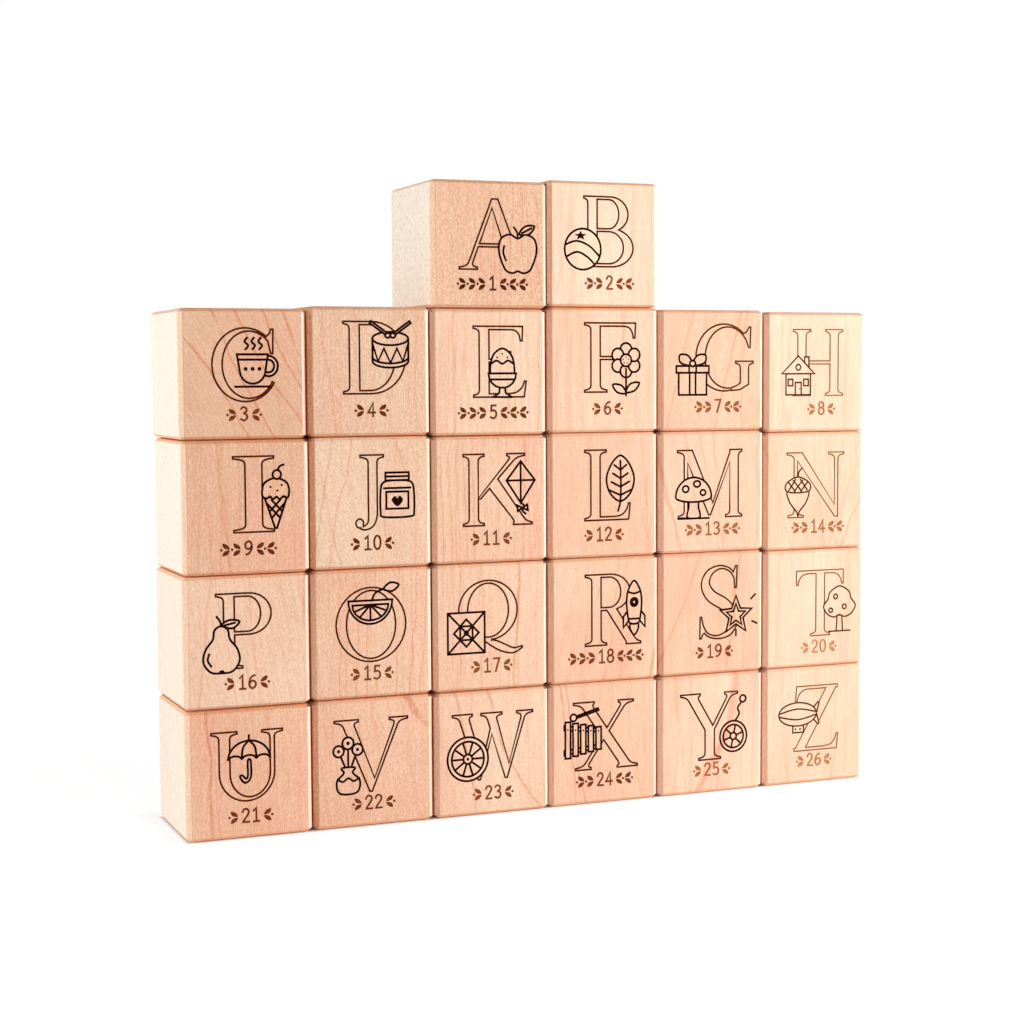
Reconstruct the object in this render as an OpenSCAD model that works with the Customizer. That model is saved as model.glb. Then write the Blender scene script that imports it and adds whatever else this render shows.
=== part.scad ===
// Twenty-six maple alphabet blocks, stacked as a wall six blocks wide.
// X runs along the wall, the lettered faces look towards -Y, and Z is up, along the grain.
// The origin lies under the middle of the wall, on the surface that it stands on.

/* [Block] */
// Side of the planed square stick that the blocks are cut from
stick_side = 44.45; // [30:0.05:60]
// Length that each block is cut to, along the grain
cut_length = 46.4; // [30:0.05:60]
// Most that the end sander takes off the length of a block
end_sanding = 1.8; // [0:0.1:3]
// Chamfer along the grain, on the four upright edges, measured across each face
grain_chamfer = 1.6; // [0.5:0.1:3]
// Chamfer across the grain, round the top and the bottom, measured on each face
end_chamfer = 1; // [0.4:0.1:2.5]

/* [Wall] */
// Gap between neighbouring columns when every block stands in its column's middle
column_gap = 0.5; // [0.3:0.05:2]
// How far the hand that stacked the wall left a block forward of or behind its middle plane
depth_play = 0.4; // [0:0.05:1]

/* [Hidden] */

// Each column of the wall, from the block it stands on up to its top block
columns = ["UPIC", "VOJD", "WQKEA", "XRLFB", "YSMG", "ZTNH"];

// Share of the end sanding that each block lost, in the order of the columns above
sanded_shares = [
    [0.6, 0.22, 0.12, 1],
    [0.37, 0.36, 0.02, 0.67],
    [0.54, 0.11, 0.36, 0.58, 0.6],
    [0.53, 0.07, 0.17, 0.39, 0.47],
    [0.5, 0, 0.36, 0.6],
    [0.48, 0.42, 0.52, 0.34]
];

// Sideways stand of each block from its column's middle, as a share of the column gap
sideways_shares = [
    [0, -0.1, 0.25, -0.4],
    [0.25, -0.1, 0.3, -0.3],
    [0.4, 0, 0, -0.3, 0.45],
    [0.05, 0.2, -0.1, 0, 0.2],
    [-0.2, 0.25, 0, 0.2],
    [0, 0.15, 0, 0.4]
];

// Forward stand of each block from the wall's middle plane, as a share of the depth play
forward_shares = [
    [0.2, -0.3, 0.5, -0.5],
    [-0.4, 0.3, 0, 0.4],
    [0.1, -0.2, 0.4, -0.1, 0.3],
    [-0.5, 0.4, -0.3, 0.2, -0.4],
    [0.3, -0.1, 0.5, -0.2],
    [0, 0.4, -0.4, 0.1]
];

// Distance from one column's middle to the next
pitch = stick_side + column_gap;

// Column of the wall that holds a letter, counted from the left
function column_of(letter) = [
    for (i = [0 : len(columns) - 1])
        if (len(search(letter, columns[i])) > 0) i
][0];

// Row of its column that a letter stands in, counted from the bottom
function row_of(letter) = search(letter, columns[column_of(letter)])[0];

// Finished length of the block in a column and row
function length_at(column, row) = cut_length - end_sanding * sanded_shares[column][row];

// Height of the face that the block in a column and row stands on
function base_at(column, row) = row == 0 ? 0 : base_at(column, row - 1) + length_at(column, row - 1);

// Corners of a square with its four corners cut off at 45 degrees, centred on the origin
function chamfered(width, height, cut_x, cut_y) = [
    [cut_x - width / 2, -height / 2],
    [width / 2 - cut_x, -height / 2],
    [width / 2, cut_y - height / 2],
    [width / 2, height / 2 - cut_y],
    [width / 2 - cut_x, height / 2],
    [cut_x - width / 2, height / 2],
    [-width / 2, height / 2 - cut_y],
    [-width / 2, cut_y - height / 2]
];

// One solid block on the origin, with its grain upright and its twelve edges eased
module maple_block(length) {
    intersection() {
        // The square stick, with its long edges planed off
        linear_extrude(height = length)
            polygon(chamfered(stick_side, stick_side, grain_chamfer, grain_chamfer));
        // The end edges that run from front to back
        translate([0, stick_side / 2, length / 2])
            rotate([90, 0, 0])
                linear_extrude(height = stick_side)
                    polygon(chamfered(stick_side, length, end_chamfer, end_chamfer));
        // The end edges that run from left to right
        translate([-stick_side / 2, 0, length / 2])
            rotate([90, 0, 90])
                linear_extrude(height = stick_side)
                    polygon(chamfered(stick_side, length, end_chamfer, end_chamfer));
    }
}

// A block standing in its place in the wall
module block_in_wall(letter) {
    column = column_of(letter);
    row = row_of(letter);
    middle = (column - (len(columns) - 1) / 2) * pitch;
    sideways = sideways_shares[column][row] * column_gap;
    forward = forward_shares[column][row] * depth_play;
    translate([middle + sideways, -forward, base_at(column, row)])
        maple_block(length_at(column, row));
}

module block_a() { color("#f0c9a4") block_in_wall("A"); }
module block_b() { color("#f7d6b4") block_in_wall("B"); }
module block_c() { color("#f0c29b") block_in_wall("C"); }
module block_d() { color("#f1c4a0") block_in_wall("D"); }
module block_e() { color("#f2c6a2") block_in_wall("E"); }
module block_f() { color("#f5cfac") block_in_wall("F"); }
module block_g() { color("#f2c3a0") block_in_wall("G"); }
module block_h() { color("#f9dcbd") block_in_wall("H"); }
module block_i() { color("#eebf9b") block_in_wall("I"); }
module block_j() { color("#f0c6a3") block_in_wall("J"); }
module block_k() { color("#f1c3a1") block_in_wall("K"); }
module block_l() { color("#f3cba5") block_in_wall("L"); }
module block_m() { color("#f5cca8") block_in_wall("M"); }
module block_n() { color("#f8d2b2") block_in_wall("N"); }
module block_o() { color("#f0c6a4") block_in_wall("O"); }
module block_p() { color("#eec19c") block_in_wall("P"); }
module block_q() { color("#f2c5a4") block_in_wall("Q"); }
module block_r() { color("#f3c0a0") block_in_wall("R"); }
module block_s() { color("#f4c7a5") block_in_wall("S"); }
module block_t() { color("#f9d8b8") block_in_wall("T"); }
module block_u() { color("#edbd98") block_in_wall("U"); }
module block_v() { color("#efc09c") block_in_wall("V"); }
module block_w() { color("#f0c19e") block_in_wall("W"); }
module block_x() { color("#f1c19f") block_in_wall("X"); }
module block_y() { color("#f3c4a2") block_in_wall("Y"); }
module block_z() { color("#f8d3b3") block_in_wall("Z"); }

block_a();
block_b();
block_c();
block_d();
block_e();
block_f();
block_g();
block_h();
block_i();
block_j();
block_k();
block_l();
block_m();
block_n();
block_o();
block_p();
block_q();
block_r();
block_s();
block_t();
block_u();
block_v();
block_w();
block_x();
block_y();
block_z();
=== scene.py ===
"""A set of maple alphabet blocks, stacked as a wall six blocks wide, on a white studio table."""
import math
import bpy
import bmesh
from mathutils import Euler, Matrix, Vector
from mathutils.geometry import delaunay_2d_cdt


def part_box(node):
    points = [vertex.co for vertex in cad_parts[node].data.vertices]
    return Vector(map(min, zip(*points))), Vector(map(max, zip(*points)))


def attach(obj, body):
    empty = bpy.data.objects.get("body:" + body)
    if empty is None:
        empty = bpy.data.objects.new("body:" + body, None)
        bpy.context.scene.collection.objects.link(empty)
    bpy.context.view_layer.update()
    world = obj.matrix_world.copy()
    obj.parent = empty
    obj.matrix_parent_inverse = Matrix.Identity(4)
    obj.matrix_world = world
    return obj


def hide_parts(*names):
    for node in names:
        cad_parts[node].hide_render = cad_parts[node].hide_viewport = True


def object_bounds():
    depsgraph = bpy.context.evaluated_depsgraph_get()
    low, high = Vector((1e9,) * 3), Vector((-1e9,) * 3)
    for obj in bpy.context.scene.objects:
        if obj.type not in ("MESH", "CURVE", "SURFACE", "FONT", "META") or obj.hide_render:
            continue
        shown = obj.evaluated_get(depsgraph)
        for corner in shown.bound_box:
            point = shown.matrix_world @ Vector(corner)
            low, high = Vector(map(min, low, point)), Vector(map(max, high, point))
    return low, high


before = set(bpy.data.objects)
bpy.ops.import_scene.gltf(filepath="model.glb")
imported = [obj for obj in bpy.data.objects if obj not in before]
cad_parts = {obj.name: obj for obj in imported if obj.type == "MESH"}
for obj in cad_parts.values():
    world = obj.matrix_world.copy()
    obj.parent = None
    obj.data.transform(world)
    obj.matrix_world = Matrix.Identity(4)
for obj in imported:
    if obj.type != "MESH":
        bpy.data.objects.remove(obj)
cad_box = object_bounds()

MM = 0.001
bpy.ops.object.select_all(action="DESELECT")

# The camera. It stands to the left of the wall, a little over two thirds of a metre away, and
# looks slightly down at it through a moderate telephoto lens, held a third of a degree off level.
camera_place = Vector((-0.2759, -0.6553, 0.1583))
camera_aim = Vector((-0.0143, -0.0222, 0.1097))
camera_roll = math.radians(-0.31)
focal_length = 66.9
sensor_width = 36

bpy.ops.object.camera_add(location=camera_place)
camera = bpy.context.object
camera.data.lens = focal_length
camera.data.sensor_width = sensor_width
camera.data.clip_start = 0.01
camera.data.clip_end = 50
turn = (camera_aim - camera_place).to_track_quat("-Z", "Y")
camera.rotation_mode = "QUATERNION"
camera.rotation_quaternion = turn @ Euler((0, 0, camera_roll)).to_quaternion()
bpy.context.scene.camera = camera
bpy.context.scene.view_settings.view_transform = "Standard"

# The studio. A white table top runs back into a white room. One soft lamp stands at the right in
# front, a second one lights the left ends of the blocks, and a weak one and the room fill the rest.
# To the eye the table is veiled in white, but for a thin line of shade at the foot of the wall.
table_size = 30
table_white = (0.93, 0.93, 0.93, 1)
table_glow = 1.06
veil_near, veil_far = 0.90, 1.0
veil_start, veil_end = 0.24, 0.60
skirt_veil, skirt_reach = 0.85, 12 * MM
foot_shade_start, foot_shade_end = -1.0 * MM, 0.6 * MM
room_light = 0.25
lamps = {
    "lamp_right": dict(place=(0.90, -0.46, 0.32), size=0.36, power=11.3, tint=(1, 0.955, 0.90)),
    "lamp_left": dict(place=(-1.70, 0.14, 0.44), size=0.60, power=17.8, tint=(1, 0.975, 0.94)),
    "lamp_front": dict(place=(0.12, -1.10, 0.62), size=0.50, power=3.4, tint=(1, 0.95, 0.90)),
}
wall_middle = Vector((0, 0, 0.11))


def link(tree, start, end):
    tree.links.new(start, end)


def calculate(tree, operation, first, second=None, third=None):
    """A Math node on sockets or numbers."""
    node = tree.nodes.new("ShaderNodeMath")
    node.operation = operation
    for socket, value in zip(node.inputs, (first, second, third)):
        if value is None:
            continue
        if isinstance(value, (int, float)):
            socket.default_value = value
        else:
            link(tree, value, socket)
    return node.outputs[0]


def times(tree, first, second):
    return calculate(tree, "MULTIPLY", first, second)


def minus(tree, first, second):
    return calculate(tree, "SUBTRACT", first, second)


def soft_step(tree, value, start, end, low=0.0, high=1.0):
    """Low below start, high above end, and smooth between them."""
    node = tree.nodes.new("ShaderNodeMapRange")
    node.interpolation_type = "SMOOTHSTEP"
    for socket, number in zip(node.inputs[1:5], (start, end, low, high)):
        socket.default_value = number
    link(tree, value, node.inputs["Value"])
    return node.outputs["Result"]


def axes(tree, vector):
    """The outputs X, Y and Z of a vector."""
    node = tree.nodes.new("ShaderNodeSeparateXYZ")
    link(tree, vector, node.inputs[0])
    return node.outputs


def seen_by_eye(tree):
    """One where the camera looks straight at a surface or through a mirror or glass, else zero."""
    rays = tree.nodes.new("ShaderNodeLightPath").outputs
    seen = calculate(tree, "MAXIMUM", rays["Is Camera Ray"], rays["Is Glossy Ray"])
    return calculate(tree, "MAXIMUM", seen, rays["Is Transmission Ray"])


def mixed(tree, share, first, second, out):
    """Sends a mix of two shaders, by a share, to the output node."""
    mix = tree.nodes.new("ShaderNodeMixShader")
    for socket, end in zip((share, first, second), mix.inputs):
        link(tree, socket, end)
    link(tree, mix.outputs[0], out.inputs[0])


world = bpy.data.worlds.new("white_room")
bpy.context.scene.world = world
world.use_nodes = True
sky = world.node_tree
sky.nodes.clear()
room = sky.nodes.new("ShaderNodeBackground")
room.inputs["Strength"].default_value = room_light
backdrop = sky.nodes.new("ShaderNodeBackground")
for node in (room, backdrop):
    node.inputs["Color"].default_value = (1, 1, 1, 1)
mixed(sky, seen_by_eye(sky), room.outputs[0], backdrop.outputs[0], sky.nodes.new("ShaderNodeOutputWorld"))

bpy.ops.mesh.primitive_plane_add(size=table_size)
table = bpy.context.object
table.name = "table_top"
paint = bpy.data.materials.new("white_table")
paint.use_nodes = True
tree = paint.node_tree
tree.nodes.clear()
matt = tree.nodes.new("ShaderNodeBsdfDiffuse")
matt.inputs["Color"].default_value = table_white
glow = tree.nodes.new("ShaderNodeEmission")
glow.inputs["Strength"].default_value = table_glow
at = tree.nodes.new("ShaderNodeTexCoord").outputs["Object"]
away = tree.nodes.new("ShaderNodeVectorMath")
away.operation = "LENGTH"
link(tree, at, away.inputs[0])
spread = soft_step(tree, away.outputs["Value"], veil_start, veil_end, veil_near, veil_far)
place = axes(tree, at)
beyond = [minus(tree, calculate(tree, "ABSOLUTE", place[axis]), cad_box[1][axis]) for axis in (0, 1)]
beyond = calculate(tree, "MAXIMUM", *beyond)
skirt = calculate(tree, "MULTIPLY_ADD", soft_step(tree, beyond, 0, skirt_reach), 1 - skirt_veil, skirt_veil)
skirt = times(tree, skirt, soft_step(tree, beyond, foot_shade_start, foot_shade_end))
veil = times(tree, seen_by_eye(tree), times(tree, spread, skirt))
mixed(tree, veil, matt.outputs[0], glow.outputs[0], tree.nodes.new("ShaderNodeOutputMaterial"))
table.data.materials.append(paint)

for name, lamp in lamps.items():
    bpy.ops.object.light_add(type="AREA", location=lamp["place"])
    light = bpy.context.object
    light.name = name
    light.data.size = lamp["size"]
    light.data.energy = lamp["power"]
    light.data.color = lamp["tint"]
    light.rotation_euler = (wall_middle - light.location).to_track_quat("-Z", "Y").to_euler()

# The blank block. Hard maple, planed to a square stick, cut to length across the grain, and sanded
# on a disc, which leaves each end very slightly crowned, less so in the three right columns. The
# edges are eased with a chamfer, wider along the grain, and a last pass by hand takes every arris off.
grain_chamfer = 1.6 * MM
end_chamfer = 1.0 * MM
crown_height = 0.25 * MM
flatter_crown = 0.14 * MM
flatter_from = -10 * MM
crown_margin = 1.5 * MM
breathing_space = 0.01 * MM
arris = 0.22 * MM
arris_steps = 2
arris_angle = math.radians(20)
square = 1e-4


def pick(mesh, wanted_edges=None, wanted_faces=None):
    """Selects the edges or the faces of the mesh in edit mode that pass the test, and no others."""
    bm = bmesh.from_edit_mesh(mesh)
    for part in (*bm.verts, *bm.edges, *bm.faces):
        part.select = False
    bm.select_mode = {"EDGE"} if wanted_edges else {"FACE"}
    for part in bm.edges if wanted_edges else bm.faces:
        if (wanted_edges or wanted_faces)(part):
            part.select = True
    bm.select_flush_mode()
    bmesh.update_edit_mesh(mesh)


def upright(edge):
    a, b = (v.co for v in edge.verts)
    return abs(a.z - b.z) > square and abs(a.x - b.x) < square and abs(a.y - b.y) < square


def round_an_end(edge):
    """True for an edge between an end of the stick and one of its sides or chamfers."""
    steepness = [abs(f.normal.z) for f in edge.link_faces]
    return max(steepness) > 0.9 and min(steepness) < 0.5


def blank_block(low, high):
    """One block between two corners, at the origin of its own mesh."""
    size = high - low
    crown = crown_height if low.x < flatter_from else flatter_crown
    bpy.ops.mesh.primitive_cube_add(size=1)
    block = bpy.context.object
    block.scale = (size.x, size.y, size.z - 2 * crown - 2 * breathing_space)
    block.location = (low + high) / 2
    bpy.ops.object.transform_apply(location=True, rotation=False, scale=True)
    bpy.ops.object.mode_set(mode="EDIT")
    for edges, width in ((upright, grain_chamfer), (round_an_end, end_chamfer)):
        pick(block.data, wanted_edges=edges)
        bpy.ops.mesh.bevel(offset=width, offset_type="OFFSET", segments=1, affect="EDGES")
    for way in (1, -1):
        pick(block.data, wanted_faces=lambda f: f.normal.z * way > 0.9)
        bpy.ops.mesh.inset(thickness=crown_margin)
        bpy.ops.transform.translate(value=(0, 0, way * crown))
    bpy.ops.object.mode_set(mode="OBJECT")
    ease = block.modifiers.new("arris", "BEVEL")
    ease.width = arris
    ease.segments = arris_steps
    ease.limit_method = "ANGLE"
    ease.angle_limit = arris_angle
    bpy.ops.object.modifier_apply(modifier="arris")
    return block


# The wood. Sanded hard maple with no varnish: a creamy tan that runs from pale to rosy from block
# to block, thin red-brown lines where one year's growth ends, fine flecks, and now and then a
# mineral streak. The ends of the grain drink the light and look darker and warmer.
tan = (0.740, 0.405, 0.260, 1)
cream = (0.930, 0.665, 0.505, 1)
rose = (0.860, 0.425, 0.300, 1)
growth_line = (0.640, 0.190, 0.085, 1)
pore = (0.420, 0.150, 0.070, 1)
sheen_fleck = (1.0, 0.88, 0.74, 1)
end_grain = (0.600, 0.235, 0.060, 1)
# Painted shade on the left chamfers of the inner blocks, where the block to the left keeps the light off
brown_chamfer = (0.600, 0.200, 0.030, 1)
# Painted light on the left sides, strongest on the open sides of the first column that the left lamp lights
painted_side_light = (0.930, 0.865, 0.755, 1)
# A painted highlight on the chamfers that face the right lamp
painted_chamfer_highlight = (0.950, 0.740, 0.660, 1)
# Painted light on the open left chamfers of the first column
painted_open_chamfer_light = (0.950, 0.650, 0.450, 1)
singed = (0.800, 0.380, 0.100, 1)
# Painted shade, red-brown, on the arrises along the seams between blocks
stained = (0.840, 0.190, 0.028, 1)
# Painted shade, near black, in the front corners where blocks meet and in a few deep seams
painted_deep_shade = (0.110, 0.014, 0.004, 1)
# Painted light on the lower chamfers of the bottom row, the warm light thrown up by the white table
painted_table_bounce = (0.970, 0.500, 0.270, 1)
maple_roughness, maple_shine = 0.62, 0.25
relief_strength, relief_depth = 0.25, 0.05 * MM

# Its patterns, in waves to the metre, from broad clouds to single fibres and flecks
cloud_waves, blush_waves, fading_waves, patch_waves = 38, 48, 50, 55
band_waves, curl_waves, fibre_waves, fleck_waves = 320, 1000, 1700, 3300
cloud_tone, band_tone, least_tone = 0.26, 0.40, 0.33
ring_line, ring_sharpness, weakest_ring = 0.55, 2.4, 0.2
patch_edges, fading_edges, curl_edges = (0.32, 0.62), (0.20, 0.50), (0.52, 0.66)
fibre_depth, fleck_depth, lightening = 0.48, 2.1, 1.2
ruffle = 5.0 * MM
half_block = 22.5 * MM

# How strong each colour on an edge is where it is full, painted highlights, light and shade among
# them, and how much less an open side takes of it
highlight_share, lower_share, foot_share, corner_share, heat_share = 0.70, 0.42, 0.80, 0.85, 0.50
less_open = 0.75
# How strong the painted shade is on the arrises of the seams to the left, to the right and level
left_stain, right_stain, level_stain = 0.95, 0.60, 0.80
lowest_row = 30 * MM

# How far a surface has turned towards the way that a paint looks, where the paint starts and is full
chamfer_turn, side_turn, end_turn = (0.30, 0.65), (0.80, 0.97), (0.30, 0.80)
arris_turn, level_arris_turn, level_turn = (0.76, 0.90), (0.76, 0.88), (0.93, 0.99)
open_turn, bare_turn = (0.35, 0.65), (0.1, 0.3)
corner_turn, corner_steepness = (0.30, 0.45), (0.40, 0.60)

# How far from the middle of the block the painted shade of a seam and that of a corner start and are full
joint_front = (18.6 * MM, 20.0 * MM)
corner_outer = (21.2 * MM, 21.7 * MM)


def blend_colour(tree, share, first, second):
    """A mix of two colours, each a socket or a written colour, by a share."""
    node = tree.nodes.new("ShaderNodeMix")
    node.data_type = "RGBA"
    for socket, value in zip((node.inputs[0], node.inputs[6], node.inputs[7]), (share, first, second)):
        if isinstance(value, (int, float, tuple)):
            socket.default_value = value
        else:
            link(tree, value, socket)
    return node.outputs[2]


def placed(tree, source, move=(0, 0, 0), turn=(0, 0, 0), stretch=(1, 1, 1)):
    """Coordinates stretched and turned about the origin, then moved."""
    node = tree.nodes.new("ShaderNodeMapping")
    node.inputs["Location"].default_value = move
    node.inputs["Rotation"].default_value = turn
    node.inputs["Scale"].default_value = stretch
    link(tree, source, node.inputs["Vector"])
    return node.outputs["Vector"]


def noise(tree, source, scale, detail=2.0, roughness=0.5):
    node = tree.nodes.new("ShaderNodeTexNoise")
    node.inputs["Scale"].default_value = scale
    node.inputs["Detail"].default_value = detail
    node.inputs["Roughness"].default_value = roughness
    link(tree, source, node.inputs["Vector"])
    return node.outputs["Fac"]


def maple_tone(tree, leaning, own, seed, paleness, rosiness, red):
    """The wood between its lines: tan, with cream clouds and bands and a rosy blush."""
    clouds = noise(tree, placed(tree, own, stretch=(1, 1, 0.4)), cloud_waves, 3)
    bands = noise(tree, placed(tree, leaning, move=(0, 0, seed), stretch=(1, 1, 0.07)), band_waves, 2)
    clouds = soft_step(tree, clouds, 0.3, 0.7)
    tone = calculate(tree, "MULTIPLY_ADD", clouds, cloud_tone, paleness - least_tone)
    tone = calculate(tree, "MULTIPLY_ADD", bands, band_tone, tone)
    own_tan, own_cream, own_rose = ((paint[0] * red, *paint[1:]) for paint in (tan, cream, rose))
    colour = blend_colour(tree, calculate(tree, "MAXIMUM", tone, 0.0), own_tan, own_cream)
    blush = noise(tree, placed(tree, own, move=(3, 1, 5), stretch=(1, 1, 0.3)), blush_waves, 3)
    return blend_colour(tree, times(tree, soft_step(tree, blush, 0.42, 0.72), rosiness), colour, own_rose)


def growth_rings(tree, leaning, own, seed, pith, rings, lines, wander):
    """The lines where each year's growth ends, in patches along their way, each of its own strength.
    They are found by the distance from the pith, made uneven and counted in ring widths."""
    flat = tree.nodes.new("ShaderNodeVectorMath")
    flat.operation = "MULTIPLY"
    flat.inputs[1].default_value = (1, 1, 0)
    link(tree, placed(tree, leaning, move=(pith[0] * MM, pith[1] * MM, 0)), flat.inputs[0])
    radius = tree.nodes.new("ShaderNodeVectorMath")
    radius.operation = "LENGTH"
    link(tree, flat.outputs[0], radius.inputs[0])
    waver = noise(tree, placed(tree, own, stretch=(1, 1, 0.5)), cloud_waves, 3)
    uneven = calculate(tree, "MULTIPLY_ADD", waver, wander * MM, radius.outputs["Value"])
    years = calculate(tree, "DIVIDE", uneven, rings * MM)
    luck = tree.nodes.new("ShaderNodeTexWhiteNoise")
    luck.noise_dimensions = "1D"
    link(tree, calculate(tree, "ADD", calculate(tree, "FLOOR", years), seed * 3.1), luck.inputs["W"])
    phase = calculate(tree, "FRACT", years)
    thin = min(0.9, ring_line / rings)
    start, darkest = 1 - 2.6 * thin, 1 - thin * 0.5
    rise = soft_step(tree, phase, start, darkest)
    fall = minus(tree, 1.0, soft_step(tree, phase, darkest, 1.0))
    mark = times(tree, calculate(tree, "POWER", rise, ring_sharpness), fall)
    patchy = soft_step(tree, noise(tree, own, patch_waves, 2), *patch_edges)
    strength = times(tree, calculate(tree, "ADD", luck.outputs["Value"], weakest_ring), patchy)
    return times(tree, mark, times(tree, strength, lines))


def streak(tree, own, place, number, start, slope, bow, width, depth):
    """A single line or a mineral streak, which is a leaning sheet in the wood. It is given by where it
    crosses the middle of the face, how far it leans for each step up, how far its ends bow to the
    side, and its width, in mm, and by its depth of colour."""
    waver = noise(tree, placed(tree, own, move=(number, 0, 0), stretch=(0.3, 0.3, 1)), patch_waves, 2)
    waver = times(tree, minus(tree, waver, 0.5), ruffle)
    height = calculate(tree, "DIVIDE", place["Z"], half_block)
    bend = times(tree, times(tree, height, height), bow * MM)
    sheet = calculate(tree, "MULTIPLY_ADD", place["Z"], slope, calculate(tree, "ADD", bend, start * MM))
    off = minus(tree, calculate(tree, "ADD", place["X"], waver), sheet)
    near = calculate(tree, "DIVIDE", calculate(tree, "ABSOLUTE", off), width * MM)
    mark = minus(tree, 1.0, soft_step(tree, near, 0.1, 1.0))
    there = noise(tree, placed(tree, own, move=(0, number, 0)), fading_waves, 1)
    return times(tree, times(tree, mark, soft_step(tree, there, *fading_edges)), depth)


def eased_edges(tree, colour, ways, shown, side, brown, sawn, lower, stain):
    """The left side of the grain gets painted light, the chamfers to its right a painted highlight and
    those to its left painted shade, or painted light where they stand open, and the sawn ends are darker."""
    # Painted light on the open left chamfer of the first column, painted shade on the left chamfers of the
    # others
    left_chamfer = (1.0, painted_open_chamfer_light) if side > 0.5 else (brown, brown_chamfer)
    for way, (share, paint) in ((ways["right"], (highlight_share, painted_chamfer_highlight)), (ways["left"], left_chamfer)):
        chamfer = times(tree, soft_step(tree, way, *chamfer_turn), share)
        chamfer = minus(tree, chamfer, soft_step(tree, way, *side_turn))
        colour = blend_colour(tree, calculate(tree, "MAXIMUM", chamfer, 0.0), colour, paint)
    # Painted light on the left side
    pale = times(tree, soft_step(tree, ways["left"], *side_turn), side)
    colour = blend_colour(tree, pale, colour, painted_side_light)
    # Darker sawn ends, less so where the seams' painted shade is weak; painted table light under the bottom
    # row
    for way, (share, paint) in ((ways["top"], (sawn, end_grain)), (ways["under"], lower)):
        end = times(tree, soft_step(tree, way, *end_turn), share * min(1.0, 0.5 + 0.5 * stain))
        colour = blend_colour(tree, times(tree, end, shown), colour, paint)
    return colour


def joint_stains(tree, colour, ways, place, shown, side, stain, joint):
    """Painted shade along the seams between blocks: red-brown on the arrises, and near black on the left
    arris of a few blocks.
    """
    front = soft_step(tree, times(tree, place["Y"], -1.0), *joint_front)
    # Red-brown painted shade on the upright arrises, and near-black painted shade on the left one of a few
    # blocks
    marks = [(ways["left"], left_stain * (1 - side) * stain, stained),
             (ways["right"], right_stain * stain, stained), (ways["left"], joint, painted_deep_shade)]
    for way, share, paint in marks if joint else marks[:2]:
        mark = times(tree, soft_step(tree, way, *arris_turn), share)
        colour = blend_colour(tree, times(tree, mark, front), colour, paint)
    # Red-brown painted shade on the level arrises
    steep = calculate(tree, "ABSOLUTE", ways["top"])
    mark = minus(tree, soft_step(tree, steep, *level_arris_turn), soft_step(tree, steep, *level_turn))
    mark = times(tree, times(tree, mark, shown), level_stain * stain)
    return blend_colour(tree, mark, colour, stained)


def dark_corners(tree, colour, ways, place, bare):
    """Near-black painted shade on the front corners where another block or the table stands against them.
    """
    steep = calculate(tree, "ABSOLUTE", ways["top"])
    across = calculate(tree, "ABSOLUTE", ways["right"])
    forward, sideways = (soft_step(tree, way, *corner_turn) for way in (ways["front"], across))
    corner = times(tree, times(tree, forward, soft_step(tree, steep, *corner_steepness)), sideways)
    outer = soft_step(tree, calculate(tree, "ABSOLUTE", place["X"]), *corner_outer)
    outer = calculate(tree, "MAXIMUM", outer, soft_step(tree, ways["right"], *bare_turn))
    corner = times(tree, corner, outer)
    for bare_side in bare.split():
        corner = times(tree, corner, minus(tree, 1.0, soft_step(tree, ways[bare_side], *bare_turn)))
    return blend_colour(tree, times(tree, corner, corner_share), colour, painted_deep_shade)


def fibres_and_flecks(tree, colour, leaning, seed, flecks, curl):
    """Fine fibres and flecks along the grain, and a curl in a few blocks. Gives their relief too."""
    fibre = noise(tree, placed(tree, leaning, move=(seed, 0, 0), stretch=(1, 1, 0.06)), fibre_waves, 2, 0.6)
    fleck = noise(tree, placed(tree, leaning, move=(0, seed, 0), stretch=(1, 1, 0.33)), fleck_waves, 1)
    fibre = times(tree, minus(tree, fibre, 0.5), fibre_depth)
    fleck = times(tree, minus(tree, fleck, 0.5), fleck_depth * flecks)
    relief = calculate(tree, "ADD", fibre, fleck)
    colour = blend_colour(tree, calculate(tree, "MAXIMUM", relief, 0.0), colour, pore)
    lighter = calculate(tree, "MAXIMUM", times(tree, relief, -lightening), 0.0)
    colour = blend_colour(tree, lighter, colour, sheen_fleck)
    if curl:
        curled = placed(tree, leaning, move=(seed, seed, 0), stretch=(1, 1, 0.6))
        curled = soft_step(tree, noise(tree, curled, curl_waves, 2, 0.6), *curl_edges)
        colour = blend_colour(tree, times(tree, curled, curl), colour, tan)
    return colour, relief


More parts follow.
